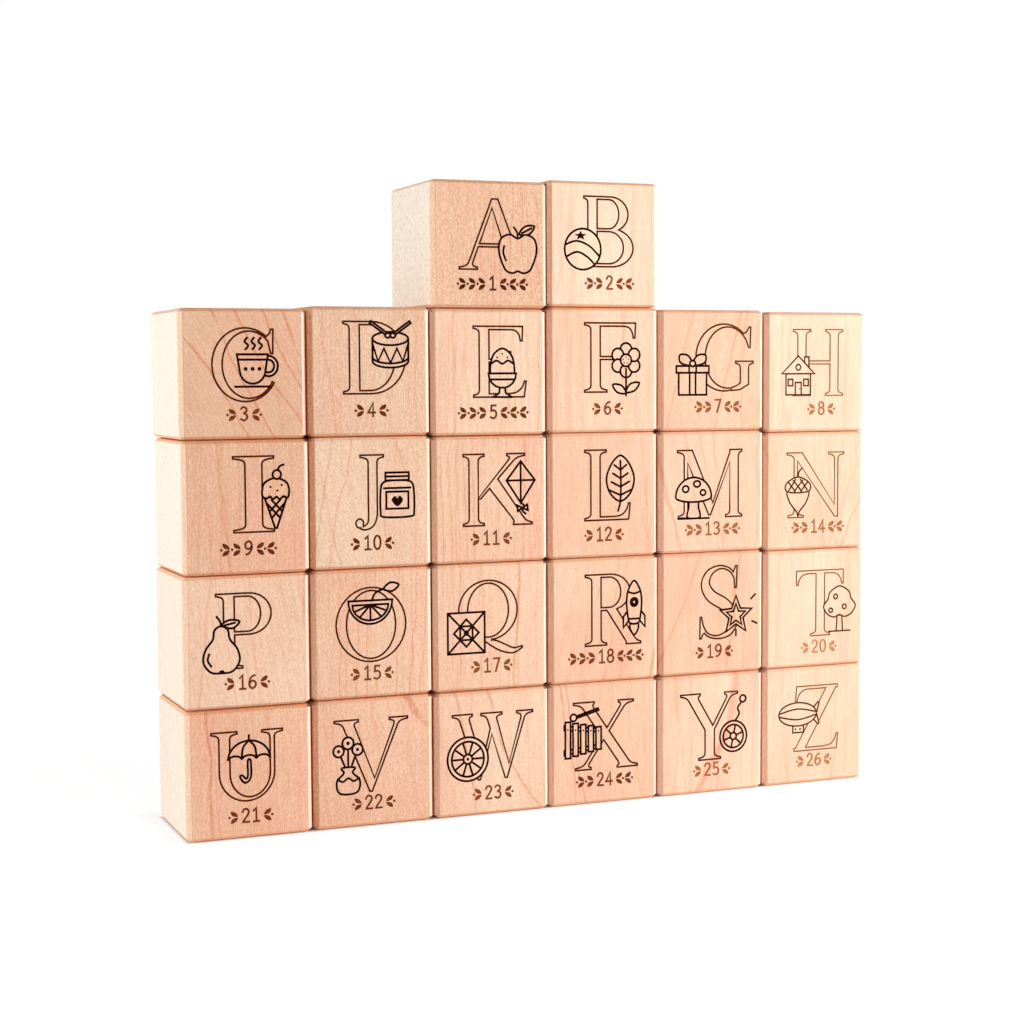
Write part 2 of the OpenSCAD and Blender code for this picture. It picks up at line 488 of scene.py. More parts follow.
def maple(name, centre, seed, paleness=0.3, rosiness=0.3, red=1.0, pith=(70, 30), lean=(0, 0), rings=4.0,
          lines=0.4, wander=5.0, flecks=0.5, curl=0.0, side=0.1, brown=0.22, sawn=0.60, stain=1.0,
          joint=0.0, bare="", streaks=()):
    """Maple cut from a tree whose pith stands at pith, in mm from the block, and leans by degrees.
    Rings and lines are how far apart, in mm, and how dark its growth lines are. Side is how much
    painted light its left side takes, over 0.5 where that is open to view. The painted shade on its
    left chamfers is as strong as brown, sawn is how dark its upper end is, and stain and joint are how
    strong the painted shade on its arrises and on the seam to its left is.
    Bare names the sides, left, right or top, where no block stands against it."""
    wood = bpy.data.materials.new(name)
    wood.use_nodes = True
    tree = wood.node_tree
    at = tree.nodes.new("ShaderNodeTexCoord").outputs["Object"]
    here = placed(tree, at, move=tuple(-c for c in centre))
    leaning = placed(tree, here, turn=(math.radians(lean[1]), math.radians(lean[0]), 0))
    own = placed(tree, here, move=(seed * 1.7, seed * 0.9, seed * 2.3))
    place = axes(tree, here)
    facing = axes(tree, tree.nodes.new("ShaderNodeNewGeometry").outputs["Normal"])
    ways = {"right": facing["X"], "left": times(tree, facing["X"], -1.0), "top": facing["Z"],
            "under": times(tree, facing["Z"], -1.0), "front": times(tree, facing["Y"], -1.0)}
    shown = 1.0
    if side > 0.5:
        shown = calculate(tree, "MULTIPLY_ADD", soft_step(tree, ways["left"], *open_turn), -less_open, 1.0)
    # Painted light from the white table on the lower chamfers of the bottom row, end grain on the others
    lower = (foot_share, painted_table_bounce) if centre[2] < lowest_row else (lower_share, end_grain)

    colour = maple_tone(tree, leaning, own, seed, paleness, rosiness, red)
    rings_here = growth_rings(tree, leaning, own, seed, pith, rings, lines, wander)
    colour = blend_colour(tree, rings_here, colour, growth_line)
    for number, one in enumerate(streaks):
        colour = blend_colour(tree, streak(tree, own, place, number, *one), colour, growth_line)
    colour = eased_edges(tree, colour, ways, shown, side, brown, sawn, lower, stain)
    # Painted shade in the seams between blocks
    colour = joint_stains(tree, colour, ways, place, shown, side, stain, joint)
    # Painted shade in the front corners
    colour = dark_corners(tree, colour, ways, place, bare)
    colour, relief = fibres_and_flecks(tree, colour, leaning, seed, flecks, curl)

    # The laser's heat yellows the wood close to its lines
    heat = tree.nodes.new("ShaderNodeAttribute")
    heat.attribute_name = "heat"
    colour = blend_colour(tree, times(tree, heat.outputs["Fac"], heat_share), colour, singed)
    shader = tree.nodes["Principled BSDF"]
    link(tree, colour, shader.inputs["Base Color"])
    shader.inputs["Roughness"].default_value = maple_roughness
    shader.inputs["Specular IOR Level"].default_value = maple_shine
    bump = tree.nodes.new("ShaderNodeBump")
    bump.inputs["Strength"].default_value = relief_strength
    bump.inputs["Distance"].default_value = relief_depth
    link(tree, relief, bump.inputs["Height"])
    link(tree, bump.outputs["Normal"], shader.inputs["Normal"])
    return wood


# The engraving. A laser burns each line as a shallow groove: thin and scorched brown for the outlined
# roman capitals, wider and charred nearly black for the thing that stands behind or before each one.
# It toasts the number and its leaves to a mid brown without cutting as deep.
# Letters, things and numbers are drawn in hundredths of the face, from its lower left corner. The
# widths of the lines and the depths are in mm.
whole_face = 100
letter_line, letter_depth = 0.66, 0.28
thing_line, thing_depth = 0.78, 0.34
toast_depth = 0.18
heat_reach = 0.38
finer_from, finer = 80 * MM, 0.8
fainter = (60 * MM, 130 * MM)
scorch_left = (0.085, 0.007, 0.001, 1)
scorch_right = (0.370, 0.170, 0.050, 1)
char_left = (0.012, 0.001, 0.001, 1)
char_right = (0.160, 0.050, 0.012, 1)
toast_fleck = (0.540, 0.255, 0.115, 1)
speckle_waves, speckle_share, speckle_edges = 900, 0.15, (0.35, 0.75)

# The green and the blue of the toast follow from its red, each as a share of a power of it
toast_green, toast_blue = (0.72, 1.83), (0.48, 2.54)

# Serifs, and what the finish of the face goes by
serif_thick = 2.2
serif_reach = 5
serif_edge = 0.7
bracket = 3.2
square_on = 0.99
smooth_angle = math.radians(30)
large_face = 10 * MM * MM

# The levels of the face and of the grooves in it, each also the number of its material
face_level, thing_level, letter_level, toast_level = range(4)
level_depth = [depth * MM for depth in (0, thing_depth, letter_depth, toast_depth)]


def burnt_wood(name, left, right, fades=False):
    """Scorched maple, lighter where the laser ran fainter towards the right end of the set."""
    burnt = bpy.data.materials.new(name)
    burnt.use_nodes = True
    tree = burnt.node_tree
    at = tree.nodes.new("ShaderNodeTexCoord").outputs["Object"]
    across = soft_step(tree, axes(tree, at)["X"], *fainter) if fades else 0.0
    colour = blend_colour(tree, across, left, right)
    speckle = soft_step(tree, noise(tree, at, speckle_waves, 2), *speckle_edges)
    colour = blend_colour(tree, times(tree, speckle, speckle_share), colour, right)
    shader = tree.nodes["Principled BSDF"]
    link(tree, colour, shader.inputs["Base Color"])
    shader.inputs["Roughness"].default_value = 1.0
    shader.inputs["Specular IOR Level"].default_value = 0.0
    return burnt


scorched = burnt_wood("laser_scorched", scorch_left, scorch_right, fades=True)
charred = burnt_wood("laser_charred", char_left, char_right, fades=True)


def oval(x, z, wide, high, start=0, end=360, step=12):
    """Points round an ellipse, given by its middle and half its width and height."""
    count = max(6, round(abs(end - start) / step))
    last = count if abs(end - start) >= 360 else count + 1
    angles = [math.radians(start + (end - start) * i / count) for i in range(last)]
    return [(x + wide * math.cos(a), z + high * math.sin(a)) for a in angles]


def box(x0, x1, z0, z1):
    return [(x0, z0), (x1, z0), (x1, z1), (x0, z1)]


def star(x, z, wide, high, waist, first=1):
    """Points of a five-pointed star that starts with a tip (1) or between two tips (0)."""
    reach = [waist, 1]
    return [(x + wide * reach[(k + first) % 2] * math.sin(math.pi * k / 5),
             z + high * reach[(k + first) % 2] * math.cos(math.pi * k / 5)) for k in range(10)]


def flowing(points, closed=True, pieces=5):
    """A smooth curve through the points."""
    points = [Vector(p) for p in points]
    count = len(points)
    smooth = []
    for i in range(count if closed else count - 1):
        if closed:
            a, b, c, d = (points[(i + k) % count] for k in (-1, 0, 1, 2))
        else:
            a, b, c, d = (points[min(max(i + k, 0), count - 1)] for k in (-1, 0, 1, 2))
        for k in range(pieces):
            t = k / pieces
            smooth.append(0.5 * (2 * b + (c - a) * t + (2 * a - 5 * b + 4 * c - d) * t * t
                                 + (3 * b - a - 3 * c + d) * t ** 3))
    if not closed:
        smooth.append(points[-1])
    return [tuple(p) for p in smooth]


def ribbon(points, widths):
    """A flowing stroke that swells and thins from point to point."""
    spine = [Vector(p) for p in flowing(points, closed=False)]
    wide = [w[0] for w in flowing([(w, 0) for w in widths], closed=False)]
    left, right = [], []
    for i, place in enumerate(spine):
        along = (spine[min(i + 1, len(spine) - 1)] - spine[max(i - 1, 0)]).normalized()
        out = Vector((-along.y, along.x)) * wide[i] / 2
        left.append(tuple(place + out))
        right.append(tuple(place - out))
    return left + right[::-1]


def add(points):
    return "add", points


def cut(points):
    return "cut", points


def bar(x0, x1, z0, z1):
    return add(box(x0, x1, z0, z1))


def serif(x0, x1, z, way, left=serif_reach, right=serif_reach, slope=(0, 0)):
    """The bracketed foot of a stem that stands on z and goes up (way 1), or the head of one (-1).
    The slope is how far the stem's left and right edges move across for each step up."""
    low, thick, high = serif_thick * serif_edge, serif_thick, serif_thick + bracket

    def half(x, reach, lean):
        def edge(up):
            return x + lean * way * up
        if not reach:
            return [(x, z), (edge(high), z + way * high)]
        spare = x + reach - edge(low)
        return [(x + reach, z), *flowing(
            [(x + reach, z + way * low), (edge(thick) + spare * 0.45, z + way * thick * 1.05),
             (edge(thick + bracket * 0.4) + spare * 0.12, z + way * (thick + bracket * 0.4)),
             (edge(high), z + way * high)], False, 3)]

    return add(half(x1, right, slope[1]) + half(x0, -left, slope[0])[::-1])


def beak(x, z, reach, drop, slant=0.0, tip=1.6):
    """The curved serif that hangs from the end of an arm, whose outer corner is at x, z."""
    inside = tip if reach > 0 else -tip
    return add([(x, z), (x + slant, z + drop), *flowing(
        [(x + slant + inside, z + drop), (x + slant * 0.6 + inside + reach * 0.1, z + drop * 0.6),
         (x + reach * 0.5, z + drop * 0.29), (x + reach, z + drop * 0.2)], False, 4), (x + reach, z)])


def stem(x0, x1, z0, z1, foot=(serif_reach, serif_reach), head=(serif_reach, serif_reach)):
    """An upright stroke with its serifs."""
    parts = [bar(x0, x1, z0, z1)]
    if foot:
        parts.append(serif(x0, x1, z0, 1, *foot))
    if head:
        parts.append(serif(x0, x1, z1, -1, *head))
    return parts


def bowl(x0, x1, z0, z1, straight):
    """A round bow from x0 to x1, whose top and bottom are straight as far as straight."""
    return [(x0, z0), *oval(straight, (z0 + z1) / 2, x1 - straight, (z1 - z0) / 2, -90, 90, 9), (x0, z1)]


def shape(points):
    """An area of the thing. It hides what was drawn before it."""
    return "shape", points


def form(points, pieces=5):
    return shape(flowing(points, pieces=pieces))


def ring(x, z, size, step=12):
    return shape(oval(x, z, size, size, step=step))


def panel(x0, x1, z0, z1):
    return shape(box(x0, x1, z0, z1))


def line(points):
    return "line", points


def curve(points):
    return line(flowing(points, closed=False))


def spot(points):
    """An area of the thing that is charred all over."""
    return "spot", points


def dot(x, z, size, step=60):
    return spot(oval(x, z, size, size, step=step))


def moved(drawing, x, z, scale):
    """A thing drawn about the origin, scaled and moved to its place on the face."""
    return [(kind, [(x + a * scale, z + b * scale) for a, b in points]) for kind, points in drawing]


numerals = {
    "0": [oval(3, 5, 2.3, 4.4) + [(5.3, 5)]],
    "1": [[(1.3, 7.6), (3.2, 9.4), (3.2, 0.6)], [(1.2, 0.6), (5.2, 0.6)]],
    "2": [flowing([(0.8, 7.3), (1.6, 9), (3.3, 9.4), (4.9, 8), (4.4, 5.6), (2.4, 2.9), (0.8, 0.7)], False)
          + [(5.3, 0.7)]],
    "3": [flowing([(0.9, 8.2), (2.6, 9.4), (4.6, 8.3), (4.4, 6.2), (2.4, 5.2), (4.5, 4.5), (5, 2.4),
                   (3.2, 0.6), (0.8, 1.5)], False)],
    "4": [[(4, 0.4), (4, 9.4), (0.6, 3), (5.6, 3)]],
    "5": [[(4.9, 9.3), (1.6, 9.3), (1.3, 5.4)]
          + flowing([(1.3, 5.4), (3.2, 6), (5, 4.6), (4.8, 1.8), (2.8, 0.6), (0.8, 1.4)], False)],
    "6": [flowing([(4.8, 9), (2.6, 8.2), (1, 5.4), (1, 2.4), (2.8, 0.6), (5, 2), (5, 4.4), (3, 5.6),
                   (1.1, 4)], False)],
    "7": [[(0.8, 9.3), (5.2, 9.3), (2.4, 0.5)]],
    "8": [oval(3, 7.3, 1.9, 2.1) + [(4.9, 7.3)], oval(3, 2.9, 2.3, 2.4) + [(5.3, 2.9)]],
    "9": [flowing([(1.2, 1), (3.4, 1.8), (5, 4.6), (5, 7.6), (3.2, 9.4), (1, 8), (1, 5.6), (3, 4.4),
                   (4.9, 6)], False)],
}
numeral_middle = 3
numeral_stroke = 1.65
numeral_size = 1.16
numeral_pitch = 8
leaves = ([(0, 5.4), (1.8, 8.6), (5.6, 9.6), (4.4, 6.2)], [(0, 4.6), (1.8, 1.4), (5.6, 0.4), (4.4, 3.8)])
leaf_gap, leaf_pitch = 2.4, 8.4
berry_place, berry_height, berry_size = 6.6, 5, 1.1


def number_row(number, x, z, sprigs):
    """A plain number with sprigs of two leaves and a dot at each side."""
    digits = str(number)
    wide = len(digits) * numeral_pitch
    row = []
    for place, digit in enumerate(digits):
        left = x - wide / 2 + (place + 0.5) * numeral_pitch - numeral_middle * numeral_size
        row += [("stroke", [(left + a * numeral_size, z + b * numeral_size) for a, b in stroke])
                for stroke in numerals[digit]]
    for way in (1, -1):
        start = x + way * (wide / 2 + leaf_gap)
        for n in range(sprigs):
            tip = start + way * leaf_pitch * n
            row += [spot([(tip + way * a, z + b) for a, b in flowing(leaf)]) for leaf in leaves]
            row.append(dot(tip + way * berry_place, z + berry_height, berry_size, step=45))
    return row


def anticlockwise(points):
    doubled = sum(a[0] * b[1] - b[0] * a[1] for a, b in zip(points, points[1:] + points[:1]))
    return points if doubled > 0 else points[::-1]


def sides_of(triangle):
    return zip(triangle, triangle[1:] + triangle[:1])


# How near each other two points are taken as one, in mm
same_line, same_place = 1e-3, 1e-4


def drawn_lines(layers):
    """The lines between the areas of a picture painted in layers, each a colour and an outline.
    Each line comes with True where it belongs to the thing and not to the letter alone."""
    points, faces = [], []
    for _, outline in layers:
        faces.append(list(range(len(points), len(points) + len(outline))))
        points += [Vector(p) for p in anticlockwise(outline)]
    places, _, triangles, _, _, owners = delaunay_2d_cdt(points, [], faces, 0, same_line, True)
    sides = {}
    for triangle, owner in zip(triangles, owners):
        colour = layers[max(owner)][0] if owner else 0
        for a, b in sides_of(triangle):
            sides.setdefault(frozenset((a, b)), []).append(colour)
    unused = {edge for edge, colours in sides.items() if (colours + [0])[0] != (colours + [0])[1]}
    beside = {}
    for a, b in (tuple(edge) for edge in unused):
        beside.setdefault(a, []).append(b)
        beside.setdefault(b, []).append(a)
    chains = []
    for start in sorted(beside, key=lambda v: (len(beside[v]) == 2, v)):
        for after in beside[start]:
            if frozenset((start, after)) not in unused:
                continue
            chain = [start, after]
            unused.discard(frozenset(chain))
            while len(beside[chain[-1]]) == 2:
                ahead = next(v for v in beside[chain[-1]] if v != chain[-2])
                if frozenset((chain[-1], ahead)) not in unused:
                    break
                unused.discard(frozenset((chain[-1], ahead)))
                chain.append(ahead)
            of_thing = max(sides[frozenset(chain[:2])]) > 1
            chains.append((of_thing, [tuple(places[v]) for v in chain]))
    return chains


# For the bands of a line, as shares of its width: the shortest step and how far an open end runs
# on. Then how short the sum of two ways is where a line doubles back, and the limit of a mitre.
shortest_step, overrun = 0.2, 0.35
doubling_back, mitre_limit = 0.3, 0.5
no_turn = 1e-6


def band(chain, width):
    """Four-cornered pieces along a chain of points, mitred where it turns, each anticlockwise."""
    chain = [Vector(p) for p in chain]
    points = [chain[0]]
    for place in chain[1:]:
        if (place - points[-1]).length > width * shortest_step:
            points.append(place)
    if len(points) < 2:
        return []
    closed = len(points) > 3 and (chain[0] - chain[-1]).length < same_place
    if closed and (points[0] - points[-1]).length > same_place:
        points[-1] = points[0]
    ways = [(b - a).normalized() for a, b in zip(points, points[1:])]
    if not closed:
        points[0] = points[0] - ways[0] * width * overrun
        points[-1] = points[-1] + ways[-1] * width * overrun
    outs = []
    for i in range(len(points)):
        before = ways[i - 1] if i or closed else ways[0]
        after = ways[i] if i < len(ways) else (ways[0] if closed else ways[-1])
        across = Vector((-before.y - after.y, before.x + after.x))
        if across.length < doubling_back:
            across = Vector((-before.y, before.x))
        outs.append(across.normalized() * width / 2 / max(across.length / 2, mitre_limit))
    pieces = []
    for i, way in enumerate(ways):
        a, b = points[i], points[i + 1]
        piece = [a - outs[i], b - outs[i + 1], b + outs[i + 1], a + outs[i]]
        turns = [(piece[(k + 1) % 4] - piece[k]).cross(piece[(k + 2) % 4] - piece[(k + 1) % 4])
                 for k in range(4)]
        if min(turns) <= no_turn:
            out = Vector((-way.y, way.x)) * width / 2
            piece = [a - out, b - out, b + out, a + out]
        pieces.append(piece)
    return pieces


def burnt_areas(low, size, letter, thing, row):
    """The pieces of each level, in mm on the face. The last ones are not cut: there the face gets
    the small triangles that show how far the heat reached."""

    def on_face(points):
        return [Vector((a / whole_face * size.x / MM, b / whole_face * size.z / MM)) for a, b in points]

    def bands(width, part):
        return [piece for of_thing, chain in chains if part in (None, of_thing)
                for piece in band(chain, width)]

    layers = [(1 if kind == "add" else 0, on_face(points)) for kind, points in letter]
    layers += [(2 + n, on_face(points)) for n, (kind, points) in enumerate(thing) if kind == "shape"]
    chains = drawn_lines(layers)
    chains += [(True, on_face(points)) for kind, points in thing if kind == "line"]
    fineness = finer if low.x > finer_from else 1.0
    outlines, grooves = bands(letter_line * fineness, False), bands(thing_line * fineness, True)
    grooves += [on_face(anticlockwise(points)) for kind, points in thing if kind == "spot"]
    stroke = numeral_stroke * size.x / MM / whole_face
    pockets = [piece for kind, points in row if kind == "stroke" for piece in band(on_face(points), stroke)]
    pockets += [on_face(anticlockwise(points)) for kind, points in row if kind == "spot"]
    heated = bands(thing_line + 2 * heat_reach, None)
    return [(thing_level, grooves), (letter_level, outlines), (toast_level, pockets), (face_level, heated)]


def engrave(block, low, high, letter, thing, row):
    """Cuts the drawing into the face of the block that looks forward."""
    bm = bmesh.new()
    bm.from_mesh(block.data)
    heat = bm.verts.layers.float.new("heat")
    front = max((f for f in bm.faces if -f.normal.y > square_on), key=lambda f: f.calc_area())
    rim = list(front.verts)
    bm.faces.remove(front)
    points = [Vector(((v.co.x - low.x) / MM, (v.co.z - low.z) / MM)) for v in rim]
    faces = [list(range(len(rim)))]
    levels = [face_level]
    for level, pieces in burnt_areas(low, high - low, letter, thing, row):
        for piece in pieces:
            faces.append(list(range(len(points), len(points) + len(piece))))
            levels.append(level)
            points += piece
    places, _, triangles, sources, _, owners = delaunay_2d_cdt(points, [], faces, 0, same_place, True)

    corner = {}
    for number, source in enumerate(sources):
        for index in source:
            if index < len(rim):
                corner[number] = rim[index]
    made = {}

    def vertex(number, level):
        if level == face_level and number in corner:
            return corner[number]
        if (number, level) not in made:
            x, z = places[number]
            place = (low.x + x * MM, low.y + level_depth[level], low.z + z * MM)
            made[number, level] = bm.verts.new(place)
        return made[number, level]

    level_beside = {}
    for triangle, owner in zip(triangles, owners):
        level = levels[min((n for n in owner if n > 0), default=0)]
        face = bm.faces.new([vertex(n, level) for n in triangle])
        face.material_index = level
        for a, b in sides_of(triangle):
            level_beside[a, b] = level
    for (a, b), level in level_beside.items():
        below = level_beside.get((b, a), level)
        if level_depth[below] > level_depth[level]:
            if below != toast_level:
                vertex(a, level)[heat] = vertex(b, level)[heat] = 1.0
            wall = bm.faces.new([vertex(a, level), vertex(a, below), vertex(b, below), vertex(b, level)])
            wall.material_index = below
    bm.to_mesh(block.data)
    bm.free()


def make_block(letter, number, drawing, thing, place, toast, row_middle=50, row_foot=14, sprigs=1, **wood):
    """A finished block in its place in the wall. The thing's place is x, z and its scale, its toast is
    from dark, 0.08, to light, 0.6, and its wood is what maple takes."""
    node = f"block_{letter}"
    low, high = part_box(node)
    block = blank_block(low, high)
    block.name = f"{node}_maple"
    row = number_row(number, row_middle, row_foot, sprigs)
    engrave(block, low, high, drawing, moved(thing, *place), row)
    green, blue = (share * toast ** power for share, power in (toast_green, toast_blue))
    toasted = burnt_wood(f"toasted_{letter}", (toast, green, blue, 1), toast_fleck)
    for part in (maple(f"maple_{letter}", (low + high) / 2, number, **wood), charred, scorched, toasted):
        block.data.materials.append(part)
    bpy.ops.object.select_all(action="DESELECT")
    block.select_set(True)
    bpy.context.view_layer.objects.active = block
    bpy.ops.object.shade_smooth_by_angle(angle=smooth_angle)
    for polygon in block.data.polygons:
        if polygon.area > large_face:
            polygon.use_smooth = False
    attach(block, node)
    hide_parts(node)


# Block U, at the bottom of the first column. Solid maple with a wavy orange streak down its left
# side. It carries an outlined U, thick to the left and thin to the right, before an umbrella.
make_block(
    "u", 21,
    [add([(25.5, 82), *oval(47.5, 51, 22, 22, 180, 360, 9), (69.5, 82)]),
     cut([(34, 82), *oval(50, 50.5, 16, 18.5, 180, 360, 9), (66, 82)]), serif(25.5, 34, 82.6, -1, 6, 6),
     serif(66, 69.5, 82.6, -1, 6.5, 6.5)],
    [form([(-1.4, -2), (-1.4, -13), (-5.5, -16.5), (-9, -12), (-7, -11.5), (-5, -13.6), (-3.4, -12),
           (-3.4, -2)], pieces=3),
     shape([*oval(-2.4, -1, 14.4, 12.4, 180, 0), *oval(7.3, -1, 4.6, 2.6, 12, 168, 20),
            *oval(-2.4, -1, 4.8, 2.8, 12, 168, 20), *oval(-12.1, -1, 4.6, 2.6, 12, 168, 20)]),
     curve([(-2.4, 11.4), (-6.4, 7), (-7.4, -0.4)]), curve([(-2.4, 11.4), (1.6, 7), (2.6, -0.4)]),
     line([(-2.4, 11.4), (-2.4, 15)])],
    (52, 62, 1.16), toast=0.18, row_foot=12,
    paleness=0.30, rosiness=0.40, red=1.02, pith=(60, 40), rings=5.5, lines=0.25, flecks=0.45, side=0.85,
    bare="left", streaks=[(-14.3, -0.02, 0, 0.95, 0.60), (-12.6, -0.05, 0.8, 0.6, 0.20)])

# Block P, above it. Tan maple with fine slanted growth lines. An outlined P behind a pear.
make_block(
    "p", 16,
    [add(bowl(35, 68.6, 55.5, 86.4, 51)), cut(bowl(39.5, 60.2, 57.8, 84.1, 50)),
     *stem(31, 39.5, 30.4, 86.4, (6, 6), (6, 0))],
    [form([(0.5, 12), (4.6, 14.4), (10, 13.4), (6, 10)], pieces=4),
     form([(0, 11.4), (3.6, 9.4), (4.6, 4.6), (8.6, -0.6), (9.8, -6.8), (6, -12), (0, -12.8), (-6, -12),
           (-9.8, -6.8), (-8.6, -0.6), (-4.6, 4.6), (-3.6, 9.4)]),
     curve([(0, 11.4), (-0.6, 14), (-2.4, 16.4)]), curve([(-6.6, -2.6), (-7.4, -6), (-5.6, -9)]),
     line([(2, 11.8), (7.6, 12.9)]), spot(oval(0, -12.1, 1.5, 0.9))],
    (29, 46, 1.45), toast=0.18, row_middle=49,
    paleness=0.65, rosiness=0.22, red=0.97, pith=(75, 24), lean=(9, 0), rings=3.2, lines=0.35,
    flecks=0.45, side=0.85, sawn=0.36, bare="left",
    streaks=[(-15.5, 0.12, 0, 0.7, 0.32), (2.5, -0.06, 0, 0.7, 0.24), (20.5, 0.02, 0, 1.1, 0.36)])

# Block I, third in the column. Rosy maple with one long reddish streak. An outlined I with a
# broad stem, and an ice cream beside it.
make_block(
    "i", 9,
    stem(49, 62.4, 31.6, 87.6, (9.4, 9.2), (9.4, 9.2)),
    [shape([(-6.6, 0), (6.6, 0), (0.6, -17), (-0.6, -17)]),
     form([(-8, 3.4), (-7.6, 0.4), (-5.2, -0.6), (-3.4, 0.6), (-1.6, -1.2), (0.4, 0.2), (2.4, -1.2),
           (4.6, 0.4), (7, -0.4), (8, 3.2), (6.4, 8), (0, 10.6), (-6.4, 8)]),
     ring(0.8, 12.4, 2.5, step=24), curve([(1.4, 14.8), (2.6, 17), (5, 17.8)]),
     line([(-5.2, -3.4), (2.4, -11.4)]), line([(-2.6, -1.4), (3.8, -8)]),
     line([(5.2, -3.4), (-2.4, -11.4)]), line([(2.6, -1.6), (-3.8, -8)]), dot(-3, 5.6, 0.7),
     dot(1, 3.6, 0.7), dot(3.6, 6.6, 0.7)],
    (73, 57, 1.35), toast=0.13, row_middle=51, sprigs=2,
    paleness=0.05, rosiness=0.55, red=0.97, pith=(55, 45), rings=6, lines=0.2, flecks=0.45, side=1.0,
    bare="left", streaks=[(-8.0, -0.12, 0.3, 0.8, 0.50), (-13.5, -0.06, 0, 0.7, 0.20)])

# Block C, the first column's top, a little shorter than the rest. Its growth lines run steeply
# down to the right. An outlined C round a steaming cup.
make_block(
    "c", 3,
    [add(oval(51.5, 57, 25.9, 28, step=9)), cut(oval(54.5, 57, 21, 25.6, step=9)),
     cut([(54, 57), (84, 81), (84, 36)]),
     add([(71.6, 65.5), (73.2, 65.5), (73.6, 84), (71.6, 84), (70.6, 80.6), (67, 77.6), (69.4, 75)])],
    [shape(oval(8.6, 0, 5.6, 5.8, step=18)), shape(oval(8.6, 0, 3.4, 3.6, step=18)),
     shape([(-9.6, 6.6), *oval(-0.6, -2, 7.6, 8, 200, 340, 20), (8.4, 6.6)]),
     line([(-9.2, 3.6), (8, 3.6)]), line([(-11, -11.6), (9.8, -11.6)]),
     curve([(-4.6, 9.4), (-3, 11.6), (-5, 13.8), (-3.6, 16)]),
     curve([(-0.6, 9.4), (1, 11.6), (-1, 13.8), (0.4, 16)]),
     curve([(3.4, 9.4), (5, 11.6), (3, 13.8), (4.4, 16)]), dot(-4.6, -1.6, 1.2, step=45),
     dot(-0.6, -1.6, 1.2, step=45), dot(3.4, -1.6, 1.2, step=45)],
    (58, 56, 1.35), toast=0.19,
    paleness=0.10, rosiness=0.35, red=0.94, pith=(20, 52), lean=(27, 10), rings=7.5, lines=0.2, wander=9,
    flecks=0.35, side=1.0, bare="left top",
    streaks=[(-11.3, -0.66, -1.8, 0.8, 0.68), (-1.8, -0.49, 1.8, 0.75, 0.60),
             (8.4, -0.62, 2.4, 0.8, 0.68), (17.8, -0.57, 0.9, 0.75, 0.58),
             (24.4, -0.55, 1.0, 0.75, 0.52)])

# Block V, at the bottom of the second column. Rosy maple with a slanting streak high on the right.
# An outlined V, thick then thin, and a vase of flowers.
make_block(
    "v", 22,
    [add([(22, 83.8), (31.5, 83.8), (50.4, 36), (47.8, 27.2), (45.8, 27.2)]),
     add([(45.8, 27.2), (47.8, 27.2), (72, 83.8), (68.6, 83.8)]),
     serif(22, 31.5, 83.8, -1, 5.2, 5.2, (-0.42, -0.40)), serif(68.6, 72, 83.8, -1, 6, 6, (0.40, 0.43))],
    [ring(-5.6, 9.4, 3.2, step=30), ring(5.6, 9.8, 3.2, step=30), ring(0, 13.6, 3.4, step=30),
     line([(-4.4, 6.4), (-1.8, 0.4)]), line([(4.4, 6.8), (1.8, 0.4)]), line([(0, 10.2), (0, 0.4)]),
     form([(-4, 0), (4, 0), (2.6, -2.8), (6.8, -7.4), (5, -14), (-5, -14), (-6.8, -7.4), (-2.6, -2.8)]),
     curve([(-6.4, -6), (-3.2, -7.6), (0, -5.8), (3.2, -7.6), (6.4, -6)]), dot(-5.6, 9.4, 1, step=45),
     dot(5.6, 9.8, 1, step=45), dot(0, 13.6, 1.1, step=45)],
    (28, 47, 1.4), toast=0.175, row_middle=49, row_foot=13,
    paleness=0.30, rosiness=0.45, pith=(48, 50), lean=(6, 0), rings=5, lines=0.25, flecks=0.5,
    brown=0.40, sawn=0.24, streaks=[(41.6, -2.35, 23, 2.6, 0.70)])

# Block O, above it. Tan maple, fine upright lines to the right. An outlined O and an orange slice.
make_block(
    "o", 15,
    [add(oval(48.5, 57, 28.9, 28.6, step=9)), cut(oval(48.5, 57, 20.4, 26.3, step=9))],
    [shape([(-13, 4), *oval(0, 4, 13, 13, 180, 360, 10), (13, 4)]),
     line([(-10.6, 1.6), *oval(0, 1.6, 10.6, 8.6, 190, 350, 10), (10.6, 1.6), (-10.6, 1.6)]),
     line([(0, 1.6), (0, -7)]), line([(0, 1.6), (-6.4, -5.2)]), line([(0, 1.6), (6.4, -5.2)]),
     line([(0, 1.6), (-9.6, -2)]), line([(0, 1.6), (9.6, -2)]), curve([(1, 4), (3, 8), (8, 10)]),
     form([(8, 10), (12, 13.4), (17, 12), (13, 8.6)], pieces=4)],
    (48, 70, 1.4), toast=0.23, row_middle=49,
    paleness=0.35, rosiness=0.25, red=0.98, pith=(-62, 30), rings=3.4, lines=0.32, flecks=0.5,
    brown=0.18, sawn=0.30,
    streaks=[(-12.4, 0.02, 0, 0.7, 0.28), (9.0, 0.05, 0, 0.65, 0.34), (15.2, 0.07, 0, 0.7, 0.40),
             (18.6, 0.06, 0, 0.6, 0.30)])

